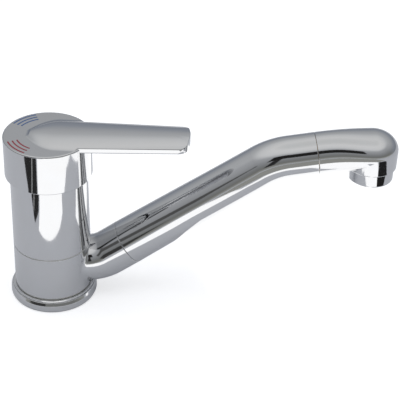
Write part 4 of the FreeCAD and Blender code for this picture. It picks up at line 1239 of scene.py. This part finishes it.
    def build(self, finishes: Finishes) -> None:
        """Make and dress everything that swings with the spout.

        Args:
            finishes: The tap's materials.
        """
        for piece, node in (
            (joined("swivel_collar_polished", self.column.collar(), self.stub()), "swivel_collar"),
            (self.tube(), "spout_tube"),
            (joined("outlet_head_polished", self.head_bar(), self.nozzle()), "outlet_head"),
            (self.aerator_ring(), "aerator_ring"),
        ):
            finishes.settle(piece, Body.SPOUT, Slot.CHROME, node)
        screen = AeratorScreen(self.line.nozzle_x)
        woven = screen.build("aerator_screen_woven", finishes.by_slot[Slot.STEEL])
        finishes.settle(woven, Body.SPOUT, Slot.STEEL, "aerator_mesh")


@dataclass(frozen=True)
class TemperatureMarks:
    """Three curved enamel bars behind the blade on each side, made by one node tree.

    Attributes:
        top: Height of the cap's flat.
        inner: Radius of the innermost bar.
        pitch: Distance between bars.
        width: Width of a bar.
        thick: Height of the enamel, most of it below the cap's flat.
        proud: Height of the enamel above the cap's flat.
        soft: Rounding of the enamel's edges.
        start: Degrees from straight behind the blade.
        span: Degrees that each bar covers.
        bars: Number of bars.
    """

    top: float
    inner: float = 17.76
    pitch: float = 2.72
    width: float = 0.9
    thick: float = 0.36
    proud: float = 0.08
    soft: float = 0.07
    start: float = 26.0
    span: float = 39.5
    bars: int = 3

    def build(self, name: str, side: int, material: bpy.types.Material) -> bpy.types.Object:
        """Make the bars of one side.

        Args:
            name: Name of the piece.
            side: -1 for hot, 1 for cold.
            material: Enamel of the bars.

        Returns:
            A plain mesh object with the bars.
        """
        first = 180 + self.start if side < 0 else 180 - self.start - self.span
        sizes = {
            "Inner radius": self.inner * MM, "Pitch": self.pitch * MM, "Width": self.width * MM,
            "Thickness": self.thick * MM, "Rounding": self.soft * MM,
            "Start angle": math.radians(first), "Sweep angle": math.radians(self.span),
            "Height": (self.top + self.proud - self.thick / 2) * MM, "Bars": self.bars}
        tree = size_tree(f"{name}_bars", sizes)
        given = add_node(tree, "NodeGroupInput").outputs
        row = add_node(tree, "GeometryNodeMeshLine", {"mode": "OFFSET", "Offset": (0.0, 0.0, 0.0)},
                       {"Count": given["Bars"]})
        arc = add_node(tree, "GeometryNodeCurveArc", {"mode": "RADIUS", "Resolution": 40, "Radius": 1.0},
                       {"Start Angle": given["Start angle"], "Sweep Angle": given["Sweep angle"]})
        number = add_node(tree, "GeometryNodeInputIndex")
        extra = add_node(tree, "ShaderNodeMath", {"operation": "MULTIPLY"}, {0: number, 1: given["Pitch"]})
        radius = add_node(tree, "ShaderNodeMath", {"operation": "ADD"}, {0: extra, 1: given["Inner radius"]})
        size = add_node(tree, "ShaderNodeCombineXYZ", {"Z": 1.0}, {"X": radius, "Y": radius})
        bars = add_node(tree, "GeometryNodeInstanceOnPoints", {},
                        {"Points": row, "Instance": arc, "Scale": size})
        plain = add_node(tree, "GeometryNodeRealizeInstances", links={0: bars})
        lift = add_node(tree, "ShaderNodeCombineXYZ", links={"Z": given["Height"]})
        raised = add_node(tree, "GeometryNodeTransform", {}, {"Geometry": plain, "Translation": lift})
        block = add_node(tree, "GeometryNodeCurvePrimitiveQuadrilateral", {"mode": "RECTANGLE"},
                         {"Width": given["Width"], "Height": given["Thickness"]})
        profile = add_node(tree, "GeometryNodeFilletCurve", {"mode": "POLY", "Count": 3},
                           {"Curve": block, "Radius": given["Rounding"]})
        skin = add_node(tree, "GeometryNodeCurveToMesh", {"Fill Caps": True},
                        {"Curve": raised, "Profile Curve": profile})
        return evaluated(name, tree, skin, material, sizes)


@dataclass(frozen=True)
class Handle:
    """Round cap with the arched blade.

    Attributes:
        rim: Height of the skirt's foot.
        top: Height of the cap's flat.
        rim_radius: Radius at the skirt's foot.
        top_radius: Radius at the cap's top.
        skirt_bore: Inner radius at the skirt's foot.
        roof_bore: Inner radius under the cap's roof.
        roof: Thickness of the cap's roof.
        cap_soft: Rounding of the cap's top edge.
        rim_soft: Rounding of the skirt's foot outside.
        bore_soft: Rounding of the skirt's foot inside.
        roof_soft: Rounding inside, under the roof.
        around: Steps round the cap.
        reach: Distance of the tip from the swivel axis.
        edge_rise: Height of the blade's edge above the flat, at the swivel axis.
        slope: Rise of the blade in degrees.
        half_width: Half width at the swivel axis.
        taper: Loss of half width per millimetre.
        crown: Height of the arch above its edges.
        thick: Height of the blade's side.
        foot_depth: How far the blade's underside reaches into the cap's roof.
        soft_drop: Depth of the edge's rounding as a share of its width.
        tip_bulge: Plan radius of the tip.
        tip_fan: Distance from the tip at which the middle line ends.
        corner: Plan radius of the tip's corners.
        soft: Rounding of the blade's edges.
        nose_x: Where the ridge dies into the flat.
        nose_length: Length over which the ridge widens to the full blade.
        nose_lead: How far the blade's hidden end goes past the nose.
        least_share: Smallest share of that length, which keeps the ridge from closing.
        scoop: Radius of the hollow at the nose.
        scoop_start: Distance from the nose's end to the foot of that hollow.
        scoop_sink: How far the hollow lies below its own arc.
        ground_sink: How far the blade's hidden foot lies below the flat.
        flat_blend: Height over which the arch runs out into the flat.
        foot_blend: Width of the soft foot between the ridge and the flat.
        cap_margin: Width of the cap's rim that the soft foot stays off.
        close_step: Distance between the outline's points where the ridge narrows.
        close_until: Where those close points end.
        step: Distance between the outline's points on the rest of the blade.
    """

    rim: float = 85.7
    top: float = 110.8
    rim_radius: float = 25.6
    top_radius: float = 25.4
    skirt_bore: float = 24.2
    roof_bore: float = 24.0
    roof: float = 3.0
    cap_soft: float = 0.8
    rim_soft: float = 0.5
    bore_soft: float = 0.3
    roof_soft: float = 1.5
    around: int = 192
    reach: float = 82.5
    edge_rise: float = 0.2
    slope: float = 1.1
    half_width: float = 15.7
    taper: float = 0.038
    crown: float = 2.78
    thick: float = 3.18
    foot_depth: float = 2.9
    soft_drop: float = 0.9
    tip_bulge: float = 45.0
    tip_fan: float = 12.0
    corner: float = 5.5
    soft: float = 0.45
    nose_x: float = -13.5
    nose_length: float = 20.0
    nose_lead: float = 0.3
    least_share: float = 0.02
    scoop: float = 3.2
    scoop_start: float = 1.0
    scoop_sink: float = 0.03
    ground_sink: float = 0.02
    flat_blend: float = 0.6
    foot_blend: float = 2.6
    cap_margin: float = 0.9
    close_step: float = 0.25
    close_until: float = 24.0
    step: float = 1.0

    def cap(self) -> bpy.types.Object:
        """Make the hollow cap.

        Returns:
            The cap with its flat top and softly rounded rim.
        """
        ceiling = self.top - self.roof
        section = edge_profile((
            (self.skirt_bore, self.rim, self.bore_soft), (self.rim_radius, self.rim, self.rim_soft),
            (self.top_radius, self.top, self.cap_soft), (ON_AXIS, self.top, 0.0), (ON_AXIS, ceiling, 0.0),
            (self.roof_bore, ceiling, self.roof_soft)))
        return turned_piece("handle_cap", section, self.around)

    def edge(self, x: float) -> Pair:
        """Half width and edge height of the full blade at a distance from the swivel axis."""
        return (self.half_width - self.taper * x,
                self.top + self.edge_rise + x * math.tan(math.radians(self.slope)))

    def ridge(self, x: float) -> tuple[float, float, float]:
        """Section of the blade, narrowing to the nose.

        Args:
            x: Distance from the swivel axis.

        Returns:
            Half width, edge height and crown.
        """
        half, edge_z = self.edge(x)
        left = 1 - min(max((x - self.nose_x) / self.nose_length, self.least_share), 1.0)
        return half * (1 - left ** 2), edge_z, self.crown * (1 - left ** 4)

    def height(self, x: float, y: float) -> float:
        """Height of the blade's upper surface, just under the flat where it ends.

        Args:
            x: Distance from the swivel axis.
            y: Distance from the middle line.

        Returns:
            The height over that plan point.
        """
        half, edge_z, crown = self.ridge(x)
        arch = edge_z + crown * (1 - (y / half) ** 2)
        ground, blend = self.top - self.ground_sink, self.flat_blend
        near = max(blend - abs(arch - ground), 0.0) / blend
        z = max(arch, ground) + near * near * blend / 4
        run = max(x - self.nose_x - self.scoop_start, 0.0)
        if run < self.scoop:
            hollow = self.scoop - math.sqrt(self.scoop ** 2 - run ** 2)
            z = min(z, self.top + hollow - self.scoop_sink)
        return z

    def side(self, x: float) -> float:
        """Half width of the blade's plan, with its hidden foot inside the cap.

        Args:
            x: Distance from the swivel axis.

        Returns:
            The half width there.
        """
        half, _, _ = self.ridge(x)
        disc = self.top_radius - self.cap_margin
        room = math.sqrt(disc * disc - x * x) - half if abs(x) < disc else 0.0
        return half + min(max(room, 0.0), self.foot_blend)

    def under(self, x: float) -> float:
        """Height of the blade's underside at a distance."""
        return max(self.edge(x)[1] - self.thick, self.top - self.foot_depth)

    def tip(self) -> tuple[float, list[Pair]]:
        """Bulging end of the blade's outline.

        Returns:
            Where it starts, and its points from one side to the other.
        """
        tip_half, _ = self.edge(self.reach)
        corner_x = self.reach - self.tip_bulge + math.sqrt(self.tip_bulge ** 2 - tip_half ** 2)
        corner_half, _ = self.edge(corner_x)
        start_x = corner_x - 2 * self.corner
        start_half, _ = self.edge(start_x)
        outline = edge_profile((
            (start_x, start_half, 0.0), (corner_x, corner_half, self.corner),
            (self.reach, 0.0, self.tip_bulge / 2), (corner_x, -corner_half, self.corner),
            (start_x, -start_half, 0.0)), arc_steps=14, guard=0.3)
        return start_x, [p for p in outline if p[0] > start_x + 0.5]

    def plan(self) -> list[Pair]:
        """Outline of the blade seen from above, with close steps where the ridge narrows.

        Returns:
            Points from the nose along one side, round the tip and back to the nose.
        """
        start_x, tip = self.tip()
        nose = self.nose_x - self.nose_lead
        side: list[Pair] = []
        x = nose
        while x < start_x + 0.3:
            side.append((x, self.side(x)))
            x += self.close_step if x < self.close_until else self.step
        end = [(nose, side[0][1] * k / 4) for k in range(-3, 4)]
        return side + tip + [(px, -py) for px, py in reversed(side)] + end

    def blade(self) -> bpy.types.Object:
        """Arched blade from its hollow nose to its rounded tip.

        Returns:
            A closed skin: loops from the underside up the side and inwards over the arch.
        """
        plan = self.plan()
        count = len(plan)
        loops: list[list[Point]] = []
        normals = []
        for i in range(count):
            along = Vector(plan[(i + 1) % count]) - Vector(plan[i - 1])
            normals.append(Vector((along.y, -along.x)).normalized() * -1)

        def loop(inset: float, place: Callable[[float, float, float], float], share: float = 0.0) -> None:
            """Add one loop.

            Args:
                inset: How far it is set in from the outline, as a share of the edge's rounding.
                place: Its height, from a plan point and the width of the rounding there.
                share: How far it is drawn towards the middle line.
            """
            ring = []
            for (x, y), out in zip(plan, normals):
                full = self.height(x, y) - self.top
                reach = self.soft * min(max(full / self.soft, 0.0), 1.0)
                px, py = x - out.x * inset * reach, y - out.y * inset * reach
                target = min(max(px, self.nose_x), self.reach - self.tip_fan)
                px, py = px + (target - px) * share, py * (1 - share)
                ring.append((px, py, place(px, py, reach)))
            loops.append(ring)

        soft_steps, arch_steps = 6, 36
        for share in (1.0, 0.8, 0.6, 0.4, 0.2):
            loop(1.0, lambda x, y, r: self.under(x), share)
        # The underside's rim is rounded in three short steps, outwards and up.
        for inset, lift in ((0.7, 0.0), (0.2, 0.06), (0.0, 0.25)):
            loop(inset, lambda x, y, r, up=lift: self.under(x) + up)
        for i in range(soft_steps + 1):
            turn = math.pi / 2 * i / soft_steps
            drop = 1 - math.sin(turn)
            loop(1 - math.cos(turn), lambda x, y, r, d=drop: self.height(x, y) - self.soft_drop * r * d)
        for i in range(1, arch_steps + 1):
            loop(1.0, lambda x, y, r: self.height(x, y), i / arch_steps)
        return mesh_piece("handle_blade", [p for ring in loops for p in ring], grid_faces(len(loops), count))

    def build(self, finishes: Finishes) -> None:
        """Make and dress the handle and its coloured marks.

        Args:
            finishes: The tap's materials.
        """
        handle = joined("lever_handle_polished", self.cap(), self.blade())
        finishes.settle(handle, Body.LEVER, Slot.CHROME, "lever_handle")
        marks = TemperatureMarks(self.top)
        for node, side, slot in (("hot_marks", -1, Slot.HOT), ("cold_marks", 1, Slot.COLD)):
            bars = marks.build(f"{node}_enamel", side, finishes.by_slot[slot])
            finishes.settle(bars, Body.LEVER, slot, node)


# Studio


@dataclass(frozen=True)
class Card:
    """A glowing or dark panel that only reflections see.

    Attributes:
        name: Name of the card.
        corners: Corner points in millimetres, in order.
        strength: Glow; 0 makes a dark flag.
        colour: sRGB hex colour.
    """

    name: str
    corners: tuple[Point, ...]
    strength: float
    colour: str = "ffffff"

    @classmethod
    def lying(cls, name: str, height: float, outline: Sequence[Pair], strength: float,
              colour: str = "ffffff") -> "Card":
        """Card that lies on the floor, from its height and its plan outline."""
        return cls(name, tuple((x, y, height) for x, y in outline), strength, colour)

    @classmethod
    def upright(cls, name: str, left: Pair, right: Pair, low: float, high: float, strength: float) -> "Card":
        """Card that stands, from the plan places of its sides and the heights of its edges."""
        return cls(name, ((*left, low), (*right, low), (*right, high), (*left, high)), strength)

    def build(self) -> None:
        """Make the card, which only mirror reflections see."""
        material = blank_material(f"{self.name} panel")
        tree = material.node_tree
        glow = add_node(tree, "ShaderNodeEmission", {"Color": linear(self.colour), "Strength": self.strength})
        add_node(tree, "ShaderNodeOutputMaterial", links={"Surface": glow})
        card = panel(self.name, self.corners, material)
        card.visible_camera = card.visible_diffuse = card.visible_shadow = False


@dataclass(frozen=True)
class Studio:
    """Floor, lights, world and camera.

    Attributes:
        lens: Focal length in millimetres on the sensor.
        sensor: Width of the sensor in millimetres.
        place: Camera position in millimetres.
        yaw: Turn of the view from +Y about Z in degrees.
        pitch: Degrees that the view looks down.
        roll: Degrees that the picture's content leans clockwise.
        floor_size: Half side of the floor in millimetres.
        floor_grain: Size of the floor's faint mottle in millimetres.
        floor_white: Glow that lifts the floor to white where the camera sees it.
        floor_grey: Glow of the floor in reflections.
        lamp_size: Side of the overhead lamp in millimetres.
        lamp_place: Its position in millimetres.
        lamp_power: Its power in watts.
        back_room: Heights of the direction with the sRGB hex colours of the room behind the tap.
        front_room: The same for the room behind the camera.
        room_blend: Backward parts of the direction between which the two rooms blend.
    """

    lens: float = 108.09
    sensor: float = 36.0
    place: Point = (103.76, -585.76, 468.72)
    yaw: float = 1.453
    pitch: float = 34.21
    roll: float = 1.96
    floor_size: float = 2500.0
    floor_grain: float = 83.3
    floor_white: float = 0.62
    floor_grey: float = 0.13
    lamp_size: float = 1200.0
    lamp_place: Point = (100.0, -100.0, 1600.0)
    lamp_power: float = 9.0
    back_room: tuple[tuple[float, str], ...] = (
        (0.0, "8b909a"), (0.25, "9ba0a8"), (0.5, "b6b8bb"), (0.65, "c2c4c6"), (0.8, "dcddde"),
        (0.93, "e8e8e8"), (1.0, "dddede"))
    front_room: tuple[tuple[float, str], ...] = (
        (0.0, "a2a39e"), (0.1, "7f807d"), (0.28, "8a8c8d"), (0.5, "a0a2a5"), (0.68, "b4b6b9"),
        (0.8, "e4e5e6"), (0.93, "eeeeee"), (1.0, "dddede"))
    room_blend: Pair = (-0.25, 0.35)

    def camera(self) -> None:
        """Set the camera where the photograph was taken from."""
        data = bpy.data.cameras.new("photo_camera")
        data.lens = self.lens
        data.sensor_width = self.sensor
        data.clip_start = 0.01
        camera = linked_object("photo_camera", data)
        yaw, pitch, roll = (math.radians(v) for v in (self.yaw, self.pitch, self.roll))
        right = Vector((math.cos(yaw), math.sin(yaw), 0.0))
        ahead = Vector((-math.sin(yaw) * math.cos(pitch), math.cos(yaw) * math.cos(pitch), -math.sin(pitch)))
        down = ahead.cross(right)
        across = right * math.cos(roll) + down * math.sin(roll) * -1
        below = right * math.sin(roll) + down * math.cos(roll)
        rows = [(across[i], -below[i], -ahead[i], self.place[i] * MM) for i in range(3)]
        camera.matrix_world = Matrix((*rows, (0.0, 0.0, 0.0, 1.0)))
        bpy.context.scene.camera = camera

    def floor(self) -> None:
        """Lay the pale floor: white to the camera where no shadow falls, soft grey in reflections."""
        # Matt laminate is pale and even, without a gloss of its own.
        material = blank_material("table top, pale matt laminate")
        tree = material.node_tree
        place = add_node(tree, "ShaderNodeTexCoord")
        grain = add_node(tree, "ShaderNodeTexNoise", {"Scale": 1 / (self.floor_grain * MM), "Detail": 3.0},
                         {"Vector": place.outputs["Object"]})
        tones = {"data_type": "RGBA", 6: linear("c3c4c8"), 7: linear("c9cace")}
        tone = add_node(tree, "ShaderNodeMix", tones, {0: grain})
        matt = add_node(tree, "ShaderNodeBsdfPrincipled", {"Roughness": 0.7}, {"Base Color": tone.outputs[2]})
        white = add_node(tree, "ShaderNodeEmission",
                         {"Color": linear("ffffff"), "Strength": self.floor_white})
        grey = add_node(tree, "ShaderNodeEmission",
                        {"Color": linear("dfe4ee"), "Strength": self.floor_grey})
        direct = add_node(tree, "ShaderNodeAddShader", links={0: matt, 1: white})
        mirrored = add_node(tree, "ShaderNodeAddShader", links={0: matt, 1: grey})
        path = add_node(tree, "ShaderNodeLightPath")
        seen = add_node(tree, "ShaderNodeMixShader",
                        links={0: path.outputs["Is Camera Ray"], 1: mirrored, 2: direct})
        add_node(tree, "ShaderNodeOutputMaterial", links={"Surface": seen})
        s = self.floor_size
        panel("floor", ((-s, -s, 0), (s, -s, 0), (s, s, 0), (-s, s, 0)), material)

    def world(self) -> None:
        """Fill the room: a pale ceiling, a grey wall behind the tap and a darker room behind the camera."""
        world = bpy.data.worlds.new("room")
        bpy.context.scene.world = world
        world.use_nodes = True
        tree = world.node_tree
        tree.nodes.clear()
        place = add_node(tree, "ShaderNodeTexCoord")
        parts = add_node(tree, "ShaderNodeSeparateXYZ", links={0: place.outputs["Generated"]})
        rooms = []
        for stops in (self.back_room, self.front_room):
            ramp = add_node(tree, "ShaderNodeValToRGB", links={0: parts.outputs["Z"]})
            band = ramp.color_ramp.elements
            for element, (height, colour) in ((band[0], stops[0]), (band[1], stops[-1])):
                element.position, element.color = height, linear(colour)
            for height, colour in stops[1:-1]:
                band.new(height).color = linear(colour)
            rooms.append(ramp)
        side = add_node(tree, "ShaderNodeMapRange", {
            "From Min": self.room_blend[0], "From Max": self.room_blend[1],
            "To Min": 1.0, "To Max": 0.0}, {"Value": parts.outputs["Y"]})
        tone = add_node(tree, "ShaderNodeMix", {"data_type": "RGBA"}, {0: side, 6: rooms[0], 7: rooms[1]})
        room = add_node(tree, "ShaderNodeBackground", {"Strength": 1.0}, {"Color": tone.outputs[2]})
        white = add_node(tree, "ShaderNodeBackground", {"Color": linear("ffffff"), "Strength": 1.0})
        path = add_node(tree, "ShaderNodeLightPath")
        seen = add_node(tree, "ShaderNodeMixShader",
                        links={0: path.outputs["Is Camera Ray"], 1: room, 2: white})
        add_node(tree, "ShaderNodeOutputWorld", links={0: seen})

    def lamp(self) -> None:
        """Hang one large soft lamp above, which reflections don't see."""
        data = bpy.data.lights.new("overhead_softbox", "AREA")
        data.shape = "SQUARE"
        data.size = self.lamp_size * MM
        data.energy = self.lamp_power
        lamp = linked_object("overhead_softbox", data)
        lamp.location = [v * MM for v in self.lamp_place]
        lamp.visible_glossy = False

    def cards(self) -> None:
        """Lay glowing panels and dark flags round the tap that only its reflections see, as its reflections
        show them: painted reflections in the chrome.
        """
        for card in (
            # Glowing panels, seen only in reflections, that paint the bright reflections in the chrome.
            Card.lying("painted_reflection_front", 1, (
                (-44, -98), (60, -94), (84, -96), (100, -112), (140, -150), (128, -215), (100, -320),
                (60, -480), (20, -700), (-30, -700), (-14, -400), (-14, -215), (-62, -205),
                (-46, -130)), 1.5),
            Card.lying("painted_reflection_under_spout", 1, (
                (74, 46), (97, 2), (112, -20), (154, -6), (200, -6), (200, 160), (80, 160)), 1.45),
            Card.lying("painted_reflection_right", 1, (
                (100, -112), (150, -112), (186, -84), (186, -6), (205, -10), (205, -84), (262, -84),
                (262, -130), (236, -156), (166, -150), (140, -150)), 1.5),
            # Dark and dim panels, seen only in reflections, that paint the dark reflections in the chrome;
            # the thin slit paints a light line between them.
            Card.lying("dark_front_left", 1.5, (
                (-64, -94), (-50, -120), (-54, -150), (-80, -230), (-190, -230), (-170, -130),
                (-112, -118)), 0.03),
            Card.lying("slit_front_left", 2, ((-74, -103), (-78, -103), (-122, -230), (-114, -230)), 0.5),
            Card.lying("dark_right", 1.5, ((262, -62), (330, -20), (350, -110), (262, -150)), 0.02),
            Card.lying("dark_back_left", 1.5, ((-420, 150), (-80, 200), (-60, 480), (-500, 480)), 0.02),
            # A dim grey glowing panel, seen only in reflections, that paints a grey reflection.
            Card.lying("painted_reflection_grey_far_right", 1, (
                (130, -216), (168, -152), (236, -160), (420, -160), (420, -900), (30, -900), (64, -480),
                (104, -320)), 0.4, "f4f5ee"),
            # Upright dim and dark panels, seen only in reflections, that paint dark reflections high in the
            # chrome.
            Card.upright("painted_reflection_dim_low_left", (-640, -420), (-180, -700), 40, 190, 0.05),
            Card.upright("painted_reflection_dim_high_left", (-620, -440), (-240, -690), 330, 470, 0.10),
            Card.upright("dark_behind_camera", (22, -640), (112, -640), 170, 430, 0.03),
            Card.upright("dark_above_camera", (-70, -645), (290, -645), 425, 690, 0.02),
        ):
            card.build()

    def build(self) -> None:
        """Set up the whole studio."""
        bpy.context.scene.view_settings.view_transform = "Standard"
        self.camera()
        self.floor()
        self.world()
        self.lamp()
        self.cards()


def main() -> None:
    """Load the frame, dress the tap and set up the studio."""
    logging.basicConfig(level=logging.INFO, format="%(name)s: %(message)s")
    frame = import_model()
    finishes = Finishes()
    finishes.dress_frame(frame)
    column = Column()
    for sub_assembly in (column, Spout(SpoutLine(), column), Handle()):
        sub_assembly.build(finishes)
    Studio().build()


if __name__ == "__main__":
    main()
